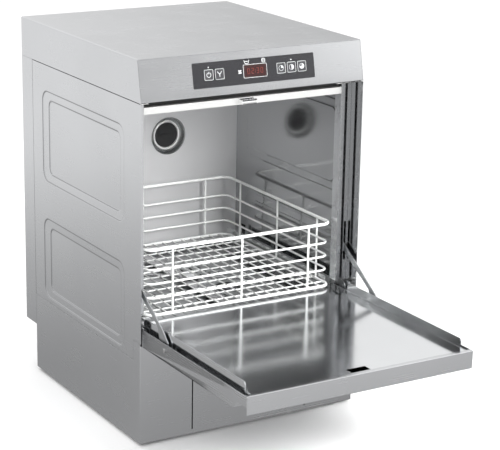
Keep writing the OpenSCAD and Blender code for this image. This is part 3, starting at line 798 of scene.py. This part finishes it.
def build_vent():
    """The round vent in the back wall: a pressed dish, a bright ring and a black plug with a grip bar."""
    low, high = corners("vent_dish")
    centre = ((low[0] + high[0]) / 2, low[1], (low[2] + high[2]) / 2)
    inward = (0, 1, 0)
    rim, dish, floor_at, hole, lip_round, foot_round = np.array([38.6, 36.6, 15, 22, 1.2, 2]) * MM
    bend = np.linspace(0, np.pi / 2, 6)
    wave = np.stack([np.sin(bend), np.cos(bend)], -1)
    lip = (dish, 0) + lip_round * (1 - wave)
    foot = (dish - foot_round, floor_at - foot_round) + foot_round * wave[:, ::-1]
    profile = np.concatenate([[[rim, 0.4 * MM], [rim - 0.6 * MM, 0]], lip, foot, [[hole, floor_at]]])
    surface = Surface().lathe(profile, centre, inward, 72)
    name, metal = "vent_dish_skin", chamber_steel("x")
    piece = add_piece(name, surface, metal, "cabinet", "vent_dish", outward=False)
    fold(piece, 0, thickness=0.6 * MM, offset=0.0)

    low, high = corners("vent_ring")
    half = np.array([2.7 * MM, (high[1] - low[1]) / 2])
    turn = np.arange(16) * 2 * np.pi / 16
    section = ((high[0] - low[0]) / 2 - half[0], 0) + half * np.stack([np.cos(turn), np.sin(turn)], -1)
    middle = (centre[0], (low[1] + high[1]) / 2, centre[2])
    surface = Surface().lathe(section, middle, inward, 72, closed=True)
    pale_ring = steel("vent_ring_pale", (0.9, 0.9, 0.9), 0.2, "y", 0.01, 0.02, 0.4)
    add_piece("vent_ring_bright", surface, pale_ring, "cabinet", "vent_ring")

    low, high = corners("vent_plug")
    edge = (23.8 * MM, 2.5 * MM) + 1.5 * MM * wave * (1, -1)
    face = np.array([[0, 1.2], [19, 1.2], [20, 1]]) * MM
    profile = np.concatenate([face, edge, np.array([[25.3, 8], [0, 8]]) * MM])
    surface = Surface().lathe(profile, (centre[0], low[1] + 0.5 * MM, centre[2]), inward, 60)
    bar = rounded_loop(15 * MM, 2.4 * MM, 2.2 * MM, 5)
    grip = np.empty((2, len(bar), 3))
    grip[..., 0] = centre[0] + bar[:, 0]
    grip[..., 1] = low[1] + np.array([[0.0], [2.4 * MM]])
    grip[..., 2] = centre[2] + bar[:, 1]
    surface.patch(grip, wrap_v=True, cap=True)
    add_piece("vent_plug_black", surface, black_plastic(), "cabinet", "vent_plug")


class WASHER_OT_vent(bpy.types.Operator):
    """Builds the vent in the chamber's back wall."""

    bl_idname = "washer.vent"
    bl_label = "Vent"

    def execute(self, context):
        build_vent()
        return {"FINISHED"}


def on_strip(points, lift):
    """Points (…, 2) drawn across and up the strip, placed on the fascia at a height above it."""
    points = np.asarray(points, float)
    across = points[..., 0, None] * np.array([1.0, 0.0, 0.0])
    return STRIP_MIDDLE + across + points[..., 1, None] * UP_SLOPE + lift * OUTWARD


SEGMENTS = {"0": "abcdef", "2": "abged", "3": "abgcd"}


class Print(Surface):
    """Flat shapes printed on the strip, each raised from a low to a high height above its middle."""

    def __init__(self, low, high):
        super().__init__()
        self.low = low
        self.high = high

    def band(self, outer, inner, closed=True):
        """Adds a flat band between two outlines of (n, 2) points."""
        outer_rows = on_strip(outer, self.low), on_strip(outer, self.high)
        inner_rows = on_strip(inner, self.high), on_strip(inner, self.low)
        return self.patch(np.stack(outer_rows + inner_rows), True, closed)

    def ring(self, centre, radius, width, start=0.0, sweep=2 * np.pi):
        """Adds a ring or an arc about a centre."""
        closed = sweep >= 2 * np.pi - 1e-6
        turn = start + np.linspace(0, sweep, 33)
        turn = turn[:-1] if closed else turn
        unit = np.stack([np.cos(turn), np.sin(turn)], -1)
        return self.band(centre + unit * radius, centre + unit * (radius - width), closed)

    def disc(self, centre, radius, start=0.0, sweep=2 * np.pi):
        """Adds a disc or a sector of one, as an open arc nearly as wide as its radius."""
        turn = start + np.linspace(0, sweep, 33)
        unit = np.stack([np.cos(turn), np.sin(turn)], -1)
        return self.band(centre + unit * radius, centre + unit * radius * 0.02, False)

    def bar(self, start, end, width):
        """Adds a bar between two points, with square ends."""
        start, end = np.array(start, float), np.array(end, float)
        along = (end - start) / np.linalg.norm(end - start)
        side = np.array([-along[1], along[0]]) * width / 2
        return self.band([start + side, end + side], [start - side, end - side], False)

    def digit(self, text, centre, width, height, thick):
        """Adds a seven-segment figure: bars a to g run round the top, sides, foot and middle."""
        w, h = width / 2, height / 2
        places = {
            "a": ((-w, h), (w, h)), "b": ((w, h), (w, 0)), "c": ((w, 0), (w, -h)), "d": ((-w, -h), (w, -h)),
            "e": ((-w, 0), (-w, -h)), "f": ((-w, h), (-w, 0)), "g": ((-w, 0), (w, 0)),
        }
        for name in SEGMENTS[text]:
            start, end = np.array(places[name]) * 0.9 + centre
            self.bar(start, end, thick)
        return self


def across_strip(node):
    """Where a node's middle lies along the strip, and half its width."""
    low, high = corners(node)
    return (low[0] + high[0]) / 2 - STRIP_MIDDLE[0], (high[0] - low[0]) / 2


def build_controls():
    """The control strip, its window and keys, and everything printed on them."""
    look = colours()
    gloss = plastic("strip_black", tuple(look.strip), 0.22, 2000.0, 0.02, 0.3)
    key_black = plastic("key_black", shade(tuple(look.strip), 1.5), 0.34, 1500.0, 0.04)
    glass = plastic("display_glass", (0.02, 0.004, 0.004), 0.12, 2000.0, 0.01, 0.6)
    ink = finish("white_ink", printed, (0.5, 0.51, 0.51))
    softened_copy("control_strip", "control_strip_film", gloss, 0.25 * MM)
    softened_copy("display_window", "display_glass_window", glass, 0.25 * MM)
    for key in KEYS:
        softened_copy(key, key + "_cap", key_black, 0.4 * MM)
        build_key_print(key, ink)
    build_strip_print(ink)
    build_digits()


def build_key_print(key, ink):
    """The outline and symbol printed on one key, which move with it."""
    middle = np.array([across_strip(key)[0], 0.0])
    line, stroke = 0.7 * MM, 1.1 * MM
    surface = Print(1.1 * MM, 1.22 * MM)
    surface.band(rounded_loop(9.0 * MM, 9.4 * MM, 2.4 * MM, 6) + middle,
                 rounded_loop(9.0 * MM - line, 9.4 * MM - line, 1.8 * MM, 6) + middle)
    if key == "key_power":
        surface.ring(middle, 4.6 * MM, 1.0 * MM, np.radians(115), np.radians(310))
        surface.bar(middle + (0, 1.2 * MM), middle + (0, 5.4 * MM), 1.0 * MM)
    elif key == "key_drain":
        for side in (-4.6, 4.6):
            surface.bar(middle + (side * MM, 4.6 * MM), middle + (0, -0.6 * MM), stroke)
        surface.bar(middle, middle + (0, -5 * MM), stroke)
    else:
        sweep = {"key_short": 1, "key_medium": 2, "key_long": 3}[key] * np.pi / 2
        surface.disc(middle, 5.0 * MM, np.pi / 2 - sweep, sweep)
        surface.ring(middle, 5.0 * MM, 0.6 * MM)
    add_piece(key + "_print", surface, ink, key)


def build_strip_print(ink):
    """The frame round the display, its signs for tank, boiler and rinse, and the two small lamps."""
    x, half = across_strip("display_window")
    half += 0.4 * MM
    middle = np.array([x, 0.0])
    sign_height = 17 * MM
    surface = Print(STRIP_T, STRIP_T + 0.12 * MM)
    surface.band(rounded_loop(half + 1.2 * MM, 12.0 * MM, 2.4 * MM, 6) + middle,
                 rounded_loop(half + 0.5 * MM, 11.3 * MM, 1.9 * MM, 6) + middle)
    tank = middle + (-half * 0.72, sign_height)
    for a, b in (((-5, 3), (-3.4, -3)), ((5, 3), (3.4, -3)), ((-3.6, -3), (3.6, -3)), ((-3, 0.6), (3, 0.6))):
        surface.bar(tank + np.array(a) * MM, tank + np.array(b) * MM, 1.0 * MM)
    boiler = middle + (half * 0.78, sign_height)
    surface.ring(boiler, 4.0 * MM, 0.9 * MM)
    for dx in (-1.3, 1.3):
        surface.bar(boiler + (dx * MM, -2 * MM), boiler + (dx * MM, 2 * MM), 0.9 * MM)
    rinse = middle + (-half - 8.5 * MM, 0)
    for dx, dz in ((-1.8, 2.0), (1.8, 2.0), (-1.8, -2.0), (1.8, -2.0), (0, 0)):
        surface.disc(rinse + (dx * MM, dz * MM), 1.3 * MM)
    for key in ("key_power", "key_medium"):
        surface.disc((across_strip(key)[0], 13.4 * MM), 1.1 * MM)
    add_piece("strip_print", surface, ink, "cabinet")


def build_digits():
    """Four lit figures with a colon, as a timer shows them."""
    x = across_strip("display_window")[0]
    surface = Print(STRIP_T + 0.05 * MM, STRIP_T + 0.15 * MM)
    for text, dx in zip("0230", (-13.5, -5.2, 5.2, 13.5)):
        surface.digit(text, (x + dx * MM, 0.0), 4.6 * MM, 9.6 * MM, 1.1 * MM)
    for dz in (-2.4, 2.4):
        surface.disc((x, dz * MM), 0.8 * MM)
    lit = finish("red_segments", glowing, tuple(colours().digits), 0.1)
    add_piece("display_digits", surface, lit, "cabinet")


class WASHER_OT_controls(bpy.types.Operator):
    """Builds the control strip, the keys, the display and their printing."""

    bl_idname = "washer.controls"
    bl_label = "Controls"

    def execute(self, context):
        build_controls()
        return {"FINISHED"}


def build_door_outer():
    """The outer skin, as two folded outlines, and the flanges that close its ends.

    One outline is the front plate with a lip at its foot and one at its top. The other is the floor,
    which slopes up behind the plate to make room for the fingers, and then runs level to the plate."""
    low, high = corners("door_outer_panel")
    back, front = high[1], low[1]
    joggle = FRONT_Y - 2 * MM
    reach, slope, rise, foot_lip, top_lip = np.array([32, 11, 13.8, 3, 8]) * MM
    roof = low[2] + rise
    inset = SHEET / 2
    rear_half = high[0] - 2 * MM
    surface = Surface()
    plate = [[front + foot_lip, low[2]], [front, low[2]], [front, high[2]], [front + top_lip, high[2]]]
    room = [[joggle, low[2]], [front + reach + slope, low[2]], [front + reach, roof], [front + SHEET, roof]]
    surface.along_x(plate, low[0] + inset, high[0] - inset)
    surface.along_x(room, low[0] + inset, high[0] - inset)
    surface.along_x([[back, low[2]], [joggle, low[2]]], -rear_half + inset, rear_half - inset)
    name, metal = "door_outer_skin", casing_steel("x")
    piece = add_piece(name, surface, metal, "door", "door_outer_panel", 0, outward=False)
    fold(piece, 1.2 * MM)
    pin, notch_radius = np.array(joint("door_hinge")["pos_m"][1:]), 4.5 * MM
    turn = np.radians(np.linspace(-28, -152, 7))
    notch = pin + notch_radius * np.stack([np.cos(turn), np.sin(turn)], -1)
    notch[[0, -1], 1] = high[2]
    front_part = np.array([[joggle, low[2]], [joggle, high[2]], [front, high[2]], [front, roof],
                           [front + reach, roof], [front + reach + slope, low[2]]])
    rear_part = np.concatenate([[[joggle - SHEET, low[2]], [back, low[2]], [back, high[2]]], notch,
                                [[joggle - SHEET, high[2]]]])
    surface = Surface()
    for side in (-1, 1):
        for outline, outer in ((front_part, high[0]), (rear_part, rear_half)):
            flange = np.empty((2, len(outline), 3))
            flange[..., 0] = side * (outer - np.array([0, SHEET])[:, None])
            flange[..., 1:] = outline
            surface.patch(flange, wrap_v=True, cap=True)
        surface.box((side * (rear_half - SHEET), joggle - SHEET, low[2]), (side * high[0], joggle, high[2]))
    piece = add_piece("door_flanges", surface, casing_steel("y"), "door", smooth=0)
    round_edges(piece, 0.4 * MM, 2, 30)
    settle(piece, 50)


def build_door_inner():
    """The inner panel: one section across the door, carried from its back to its front.

    height(x, y) is the face, and at a rib it is the face plus the rib's height, which is nothing
    beyond the rib's two ends. The quads of the catch's slot are missing."""
    low, high = corners("door_inner_panel")
    face = corners("door_outer_panel")[1][2]
    rib = high[2] - face
    rib_in, rib_out = 216.6 * MM, 219.0 * MM
    floor_z = low[2] + SHEET
    wall, rear_wall = high[0] - 0.2 * MM, high[0] - 2 * MM
    slot_x, slot_low, slot_high = 19 * MM, low[1] + 1.3 * MM, low[1] + 18.8 * MM
    round_off = 0.8 * MM
    half = np.array([
        [0, 0, 0], [slot_x, 0, 0], [rib_in - 3 * MM, 0, 0], [rib_in - 0.8 * MM, 0.25 * MM, 0],
        [rib_in, 1 * MM, 0], [rib_in, 0, 1], [rib_in + 0.4 * MM, round_off, 1],
        [rib_out - 0.4 * MM, round_off, 1], [rib_out, 0, 1],
        [rib_out, floor_z - face, 0], [rib_out + 1 * MM, floor_z - face, 0], [wall, floor_z - face, 0],
    ])
    section = np.concatenate([half[:0:-1] * (-1, 1, 1), half])
    rib_back, rib_front, narrow = FRONT_Y + 10 * MM, low[1] + 13.8 * MM, FRONT_Y - 3.4 * MM
    tiny = 0.02 * MM
    rows = np.array([
        [high[1], 0], [rib_back, 0], [rib_back - tiny, rib - 6 * MM], [rib_back - 6 * MM, rib],
        [narrow, rib], [narrow - tiny, rib], [rib_back - 120 * MM, rib], [rib_front + 3 * MM, rib],
        [rib_front, rib - 3 * MM], [rib_front - tiny, 0], [slot_low, 0], [low[1], 0],
    ])
    rows = np.insert(rows, 8, [slot_high, rib], 0)
    rows = rows[np.argsort(-rows[:, 0], kind="stable")]
    y, tall = rows.T
    grid = np.empty((len(y), len(section), 3))
    grid[..., 0] = section[:, 0]
    grid[..., 1] = y[:, None]
    raised = section[:, 2] > 0
    grid[..., 2] = face + section[:, 1]
    grid[:, raised, 2] = face + np.maximum(tall[:, None] - section[raised, 1], 0)
    ends = np.abs(section[:, 0]) >= wall - tiny
    grid[np.ix_(y > narrow - tiny / 2, ends)] *= (rear_wall / wall, 1, 1)
    middle = (grid[:-1, :-1] + grid[1:, 1:]) / 2
    slot = (np.abs(middle[..., 0]) < slot_x) & (middle[..., 1] > slot_low) & (middle[..., 1] < slot_high)
    surface = Surface().patch(grid, leave_out=slot)
    bright = steel("door_bright_steel", (0.64, 0.65, 0.66), 0.12, "x", 0.03, 0.03)
    name, node = "door_inner_skin", "door_inner_panel"
    piece = add_piece(name, surface, bright, "door", node, 30, outward=False)
    fold(piece, 0, (0, 0, 1), 0.9 * MM)


def build_door_screws():
    """A low domed screw in each flange, where the stay arm is held."""
    low, high = corners("door_outer_panel")
    radius, dome, sunk, from_front = 4.2 * MM, 0.5 * MM, 0.4 * MM, 83 * MM
    z = (low[2] + high[2]) / 2 + 3 * MM
    bend = np.linspace(0, np.pi / 2, 7)
    profile = np.stack([radius * np.cos(bend), dome * np.sin(bend)], -1)
    profile = np.concatenate([[[radius, -sunk]], profile])
    surface = Surface()
    for side, x in ((-1, low[0]), (1, high[0])):
        surface.lathe(profile, (x, FRONT_Y - from_front, z), (side, 0, 0), 24)
    add_piece("door_screws", surface, screw_steel(), "door")


class WASHER_OT_door(bpy.types.Operator):
    """Builds the door's skins, its stay arms and hinge plates."""

    bl_idname = "washer.door"
    bl_label = "Door"

    def execute(self, context):
        build_door_outer()
        build_door_inner()
        build_door_screws()
        softened_copy("stay_arms", "stay_arm_bars", bracket_steel(), 0.4 * MM)
        softened_copy("hinge_plates", "hinge_plate_bars", bracket_steel(), 0.4 * MM)
        return {"FINISHED"}


def loop_path(half, radius, z, centre):
    """A closed path round the basket at one height."""
    flat = rounded_loop(half, half, radius, 8)
    return np.column_stack([flat + centre, np.full(len(flat), z)])


def build_basket():
    """The basket: a thick rim and floor frame, thinner rings, uprights outside them and a floor of wires."""
    rim_low, rim_high = corners("basket_rim")
    floor_low = corners("basket_floor")[0]
    side_low, side_high = corners("basket_sides")
    centre = ((rim_low + rim_high) / 2)[:2]
    half = (rim_high[0] - rim_low[0]) / 2
    thick = (rim_high[2] - rim_low[2]) / 2
    thin, fine, ring_corner, corner, overlap = np.array([2, 1.5, 17, 20, 1]) * MM
    white = finish("coated_wire", coated_wire, tuple(colours().wire))
    rim = loop_path(half - thick, corner, rim_high[2] - thick, centre)
    frame_loop = loop_path(half - thick, corner, floor_low[2] + thick, centre)
    surface = Surface().tube(rim, thick, 12, True)
    add_piece("basket_rim_wire", surface, white, "basket", "basket_rim")

    surface = Surface()
    for rise in (32, 59, 86):
        z = floor_low[2] + rise * MM + thin
        surface.tube(loop_path(half - 3 * thin, ring_corner, z, centre), thin, 8, True)
    for place in (-145 * MM, 0.0, 145 * MM):
        for reach in (thin - half, half - thin):
            for x, y in ((place, reach), (reach, place)):
                ends = np.array([[x, y, side_low[2] - overlap], [x, y, side_high[2] + overlap]])
                surface.tube(ends + (*centre, 0), thin, 8)
    add_piece("basket_side_wires", surface, white, "basket", "basket_sides")

    surface = Surface().tube(frame_loop, thick, 12, True)
    inside, along_z, across_z = half - thick, floor_low[2] + 3.5 * MM, floor_low[2] + 2.5 * MM
    for x in np.linspace(-176 * MM, 176 * MM, sizes().floor_wires):
        surface.tube(np.array([[x, -inside, along_z], [x, inside, along_z]]) + (*centre, 0), fine, 8)
    for y in np.linspace(-170 * MM, 170 * MM, sizes().cross_wires):
        surface.tube(np.array([[-inside, y, across_z], [inside, y, across_z]]) + (*centre, 0), fine, 8)
    add_piece("basket_floor_wires", surface, white, "basket", "basket_floor")


class WASHER_OT_basket(bpy.types.Operator):
    """Builds the wire basket."""

    bl_idname = "washer.basket"
    bl_label = "Basket"

    def execute(self, context):
        build_basket()
        return {"FINISHED"}


def build_spray_arm(body, width, jets, upwards, angle):
    """A spray arm: a flattened tube, rounded at its tips, with a raised collar round each jet.

    Half width = w (1 - |s|^10)^(1/2) along the blade, s running from -1 to 1 as the sine of a turn, and
    the section is a superellipse. The blade stops short of the hub, which is a turned ring."""
    low, high = corners(body + "_arm")
    centre = (low + high) / 2
    reach = ((high[1] - low[1]) / 2 - width / 2) / math.cos(angle) + width / 2
    thick = (high[2] - low[2]) / 2
    s = np.sin(np.linspace(-np.pi / 2, np.pi / 2, 49))
    v = np.arange(20) * 2 * np.pi / 20
    flat = np.sqrt(np.clip(1 - np.abs(s) ** 10, 0, 1))
    half, blade_thick = width / 2 * flat, thick * 0.92
    across, rise = (np.sign(wave) * np.sqrt(np.abs(wave)) for wave in (np.cos(v), np.sin(v)))
    blade = np.empty((len(s), len(v), 3))
    blade[..., 0] = half[:, None] * across
    blade[..., 1] = (s * reach)[:, None]
    blade[..., 2] = blade_thick * np.maximum(flat, 0.05)[:, None] * rise
    turn = np.array(Matrix.Rotation(angle, 3, "Z"))
    hub = (22 if "wash" in body else 17) * MM
    bore, rim, tip_margin, sunk = np.array([8.2, 2, 14, 0.5]) * MM
    keep = np.abs(s) * reach > bore + rim
    surface = Surface()
    for part in (s < 0, s > 0):
        surface.patch(blade[keep & part] @ turn.T + centre, False, True, cap=True)
    ring = np.array([[bore, -thick], [hub - rim, -thick], [hub, -thick / 2], [hub, thick / 2],
                     [hub - rim, thick], [bore, thick]])
    surface.lathe(ring, centre, steps=40, closed=True)
    out = 1 if upwards else -1
    collar = np.array([[3.6, 0.6], [3.2, 0.95], [2.2, 0.95], [1.6, 0.4]]) * MM
    for i in range(1, jets + 1):
        for side in (-1, 1):
            along = side * (hub + (reach - hub - tip_margin) * i / jets)
            at = np.array([side * width / 6, along, out * (blade_thick - sunk)]) @ turn.T + centre
            surface.lathe(collar, at, (0, 0, out), 16)
    metal = steel("arm_steel", (0.62, 0.62, 0.63), 0.24, "y", 0.06)
    add_piece(body + "_blade", surface, metal, body, body + "_arm")


class WASHER_OT_spray(bpy.types.Operator):
    """Builds the four spray arms and their nuts."""

    bl_idname = "washer.spray"
    bl_label = "Spray arms"

    def execute(self, context):
        for level, wash_turn, rinse_turn in (("lower", 0, 55), ("upper", 4, 60)):
            build_spray_arm(level + "_wash", 28 * MM, 5, level == "lower", math.radians(wash_turn))
            build_spray_arm(level + "_rinse", 14 * MM, 4, level == "lower", math.radians(rinse_turn))
        pale = plastic("nut_plastic", (0.62, 0.63, 0.64), 0.35)
        softened_copy("arm_nuts", "spray_arm_nuts", pale, 0.8 * MM, 3)
        return {"FINISHED"}


def build_case_screws():
    """The screws of the rear cover and the hood: domed heads with a round recess."""
    low, high = corners("case_screws")
    height = high[1] - low[1]
    radius, round_off, recess = 4.5 * MM, 1.2 * MM, 1 * MM
    bend = np.linspace(0, np.pi / 2, 7)
    dome = (radius, height) - round_off * (1 - np.stack([np.cos(bend), np.sin(bend)], -1))
    socket = [[1.6 * MM, height], [1.4 * MM, height - recess], [0, height - recess]]
    profile = np.concatenate([[[radius, 0]], dome, socket])
    surface = Surface()
    places = [(x, HOOD_LOW[2] + 20 * MM) for x in (-0.15, 0.0, 0.15)]
    for x in (low[0] + radius, high[0] - radius):
        places += [(x, corners("rear_cover")[0][2] + 20 * MM), (x, HOOD_LOW[2] - 60 * MM)]
    for x, z in places:
        surface.lathe(profile, (x, low[1], z), (0, 1, 0), 28)
    add_piece("case_screw_heads", surface, screw_steel(), "cabinet", "case_screws")


def dress_frame():
    """Gives every CAD node that stays in sight or inside a finish of its own."""
    finishes = (
        (chamber_steel("x"), "chamber_ceiling", "wash_tank", "drip_tray"),
        (chamber_steel("y"), "basket_rails"),
        # Painted light: the back wall gets a lighter, less metallic copy of the chamber's steel, so it shows
        # bright though little light reaches into the chamber.
        (steel("back_wall_steel", (0.8, 0.8, 0.81), 0.34, "x", 0.04, 0.03, 0.6), "chamber_back_wall"),
        (steel("tray_steel", (0.3, 0.3, 0.31), 0.4, "x", 0.1), "base_tray"),
        (steel("filter_steel", (0.5, 0.51, 0.52), 0.28, "y", 0.06), "tank_filter"),
        (steel("strainer_steel", (0.42, 0.43, 0.44), 0.35, "z", 0.1), "sump_strainer"),
        (steel("spindle_steel", (0.55, 0.55, 0.56), 0.2, "z", 0.05), "lower_spindle", "upper_spindle"),
        (bracket_steel(), "hinge_pins"),
        (steel("heater_sheath", (0.3, 0.29, 0.28), 0.45, "x", 0.15, 0.15), "tank_element"),
        (steel("boiler_steel", (0.5, 0.5, 0.5), 0.35, "z", 0.12), "boiler"),
        (steel("motor_casting", (0.35, 0.36, 0.38), 0.55, "y", 0.2, 0.12), "pump_motor"),
        (plastic("pump_plastic", (0.06, 0.06, 0.065), 0.5, 500.0, 0.25), "pump_volute", "pump_impeller",
         "drain_pump"),
        (plastic("grey_plastic", (0.1, 0.1, 0.11), 0.45), "overflow_pipe"),
        (plastic("black_hose", (0.016, 0.016, 0.016), 0.62, 300.0, 0.3), "delivery_pipe", "suction_pipe"),
        (plastic("grey_hose", (0.07, 0.07, 0.072), 0.55, 300.0, 0.3), "drain_hose"),
        (plastic("valve_plastic", (0.7, 0.69, 0.62), 0.4), "inlet_valve"),
        (black_plastic(), "cable_gland", "control_housing"),
        (finish("board_green", circuit_board), "control_board"),
    )
    for material, *nodes in finishes:
        for node in nodes:
            held = frame["nodes"][node]
            for slot in held.material_slots:
                slot.material = material
            if not held.material_slots:
                held.data.materials.append(material)


class WASHER_OT_works(bpy.types.Operator):
    """Dresses the inner works and fits the screws."""

    bl_idname = "washer.works"
    bl_label = "Inner works and screws"

    def execute(self, context):
        dress_frame()
        build_case_screws()
        return {"FINISHED"}


# ---- Stage ----


def area_light(name, place, aim, size, power, mirrored=True):
    """A soft light at a place, turned to an aim. One that isn't mirrored leaves no image in the steel."""
    data = bpy.data.lights.new(name, "AREA")
    data.shape = "RECTANGLE"
    data.size, data.size_y = size
    data.energy = power
    lamp = bpy.data.objects.new(name, data)
    lamp.location = place
    lamp.rotation_euler = (Vector(aim) - Vector(place)).to_track_quat("-Z", "Y").to_euler()
    lamp.visible_glossy = mirrored
    bpy.context.scene.collection.objects.link(lamp)


def build_reflection_card(floor):
    """A painted reflection: a glowing card that the steel sees in place of the floor, painted dark near the
    machine as the floor's shade and white further out.
    """
    card = floor.copy()
    card.name = "floor_reflection"
    card.data = floor.data.copy()
    card.data.materials.clear()
    card.location.z += 0.2 * MM
    card.visible_glossy = True
    bpy.context.scene.collection.objects.link(card)
    paint = Paint("reflection_card", Roughness=1.0, Specular_IOR_Level=0.0, Emission_Strength=1.08)
    where = paint.node("ShaderNodeTexCoord", out="Object")
    offset = paint.node("ShaderNodeVectorMath", {0: where, 1: (0.5, 0.3, 0)}, operation="SUBTRACT")
    scaled = paint.node("ShaderNodeVectorMath", {0: offset, 1: (1, 1.6, 0)}, operation="MULTIPLY")
    away = paint.node("ShaderNodeVectorMath", {0: scaled}, out=1, operation="LENGTH")
    # Painted shade in the reflection: the card glows darkest near the machine, where the floor's shade would
    # be.
    grey = paint.node("ShaderNodeValToRGB", {"Fac": away * 0.25},
                      ramp=[(0.2, 0.38), (0.32, 0.5), (0.42, 0.6), (0.6, 0.78), (0.8, 1.0)])
    paint.set("Base Color", (0, 0, 0, 1))
    paint.set("Emission Color", grey)
    card.data.materials.append(paint.material)
    for ray in ("camera", "diffuse", "shadow", "transmission", "volume_scatter"):
        setattr(card, "visible_" + ray, False)


def build_sky():
    """A white studio: one grey for each direction round the machine near the horizon, and white above."""
    world = bpy.data.worlds.new("studio")
    world.use_nodes = True
    sky = Graph(world.node_tree)
    light = world.node_tree.nodes["Background"].inputs
    where = sky.node("ShaderNodeTexCoord", out="Generated")
    height = sky.node("ShaderNodeSeparateXYZ", {0: where}, out="Z")
    rise = {"Value": height, "From Min": -0.05, "From Max": 0.4, "To Min": 0.95, "To Max": 1.2}
    around = sky.node("ShaderNodeTexGradient", {0: where}, out="Fac", gradient_type="RADIAL")
    greys = [(0.0, 0.8), (0.25, 0.5), (0.32, 0.55), (0.36, 0.85), (0.5, 0.7), (0.62, 0.22), (0.66, 0.42),
             (0.7, 1.0), (0.76, 1.0), (1.0, 0.8)]
    low_sky = sky.node("ShaderNodeValToRGB", {"Fac": around}, ramp=greys)
    above = sky.node("ShaderNodeMapRange", {"Value": height, "From Min": 0.19, "From Max": 0.3})
    sky.feed(light["Color"], sky.blend(above, low_sky, (1, 1, 1)))
    sky.feed(light["Strength"], sky.node("ShaderNodeMapRange", rise))
    bpy.context.scene.world = world


def build_stage():
    """A wide pale floor under soft studio light, with the camera to the left of the open door."""
    scene = bpy.context.scene
    data = bpy.data.meshes.new("floor")
    edge = 14.0
    corner = [(-edge, -edge, 0), (edge, -edge, 0), (edge, edge, 0), (-edge, edge, 0)]
    data.from_pydata(corner, [], [(0, 1, 2, 3)])
    floor = bpy.data.objects.new("floor", data)
    floor.location.z = CAD_BOX[0][2] - 0.5 * MM
    scene.collection.objects.link(floor)
    paint = Paint("studio_floor")
    cloth = paint.noise(3.0, 2.0)
    paint.set("Base Color", paint.blend(cloth, (0.86, 0.86, 0.86), (0.88, 0.88, 0.88)))
    paint.set("Roughness", 0.7 + cloth * 0.05)
    data.materials.append(paint.material)
    floor.visible_glossy = False
    # The steel sees this painted reflection in place of the floor.
    build_reflection_card(floor)
    build_sky()
    area_light("key_light", (-2.4, -2.6, 3.2), (0, -0.1, 0.4), (2.2, 2.2), 60)
    area_light("chamber_light", (0.35, -1.5, 1.05), (-0.05, 0.4, 0.5), (0.7, 0.5), 46, False)
    area_light("fill_light", (2.6, -2.2, 2.0), (0, -0.1, 0.4), (2.0, 2.0), 15)
    area_light("top_light", (0, 0.6, 3.4), (0, 0, 0.5), (2.4, 2.4), 25)

    yaw, pitch, roll = (math.radians(a) for a in (31.04, 16.22, 1.04))
    data = bpy.data.cameras.new("camera")
    data.sensor_width = 36.0
    data.lens = 126.3744
    data.clip_end = 100
    camera = bpy.data.objects.new("camera", data)
    place = Matrix.Translation((-1.5813, FRONT_Y - 2.6141, 1.2781))
    tilt = Matrix.Rotation(math.pi / 2 - pitch, 4, "X") @ Matrix.Rotation(roll, 4, "Z")
    camera.matrix_world = place @ Matrix.Rotation(-yaw, 4, "Z") @ tilt
    scene.collection.objects.link(camera)
    scene.camera = camera
    scene.view_settings.view_transform = "Standard"


class WASHER_OT_stage(bpy.types.Operator):
    """Sets the floor, the lights and the camera."""

    bl_idname = "washer.stage"
    bl_label = "Stage"

    def execute(self, context):
        build_stage()
        return {"FINISHED"}


OPERATORS = (
    WASHER_OT_stage, WASHER_OT_hood, WASHER_OT_controls, WASHER_OT_sides, WASHER_OT_base, WASHER_OT_doorway,
    WASHER_OT_vent, WASHER_OT_door, WASHER_OT_basket, WASHER_OT_spray, WASHER_OT_works,
)


class WASHER_PT_panel(bpy.types.Panel):
    """Lists the washer's operators, sizes and colours in the sidebar."""

    bl_idname = "WASHER_PT_panel"
    bl_label = "Glass washer"
    bl_space_type = "VIEW_3D"
    bl_region_type = "UI"
    bl_category = "Glass washer"

    def draw(self, context):
        column = self.layout.column()
        for operator in OPERATORS:
            column.operator(operator.bl_idname)
        for settings in (context.scene.washer_sizes, context.scene.washer_finish):
            for name in settings.__annotations__:
                column.prop(settings, name)


CLASSES = (WasherFinish, WasherSizes, *OPERATORS, WASHER_PT_panel)


def register():
    for cls in CLASSES:
        bpy.utils.register_class(cls)
    bpy.types.Scene.washer_finish = PointerProperty(type=WasherFinish)
    bpy.types.Scene.washer_sizes = PointerProperty(type=WasherSizes)


def unregister():
    del bpy.types.Scene.washer_sizes
    del bpy.types.Scene.washer_finish
    for cls in reversed(CLASSES):
        bpy.utils.unregister_class(cls)


def main():
    register()
    for operator in OPERATORS:
        group, name = operator.bl_idname.split(".")
        getattr(getattr(bpy.ops, group), name)()


if __name__ == "__main__":
    main()
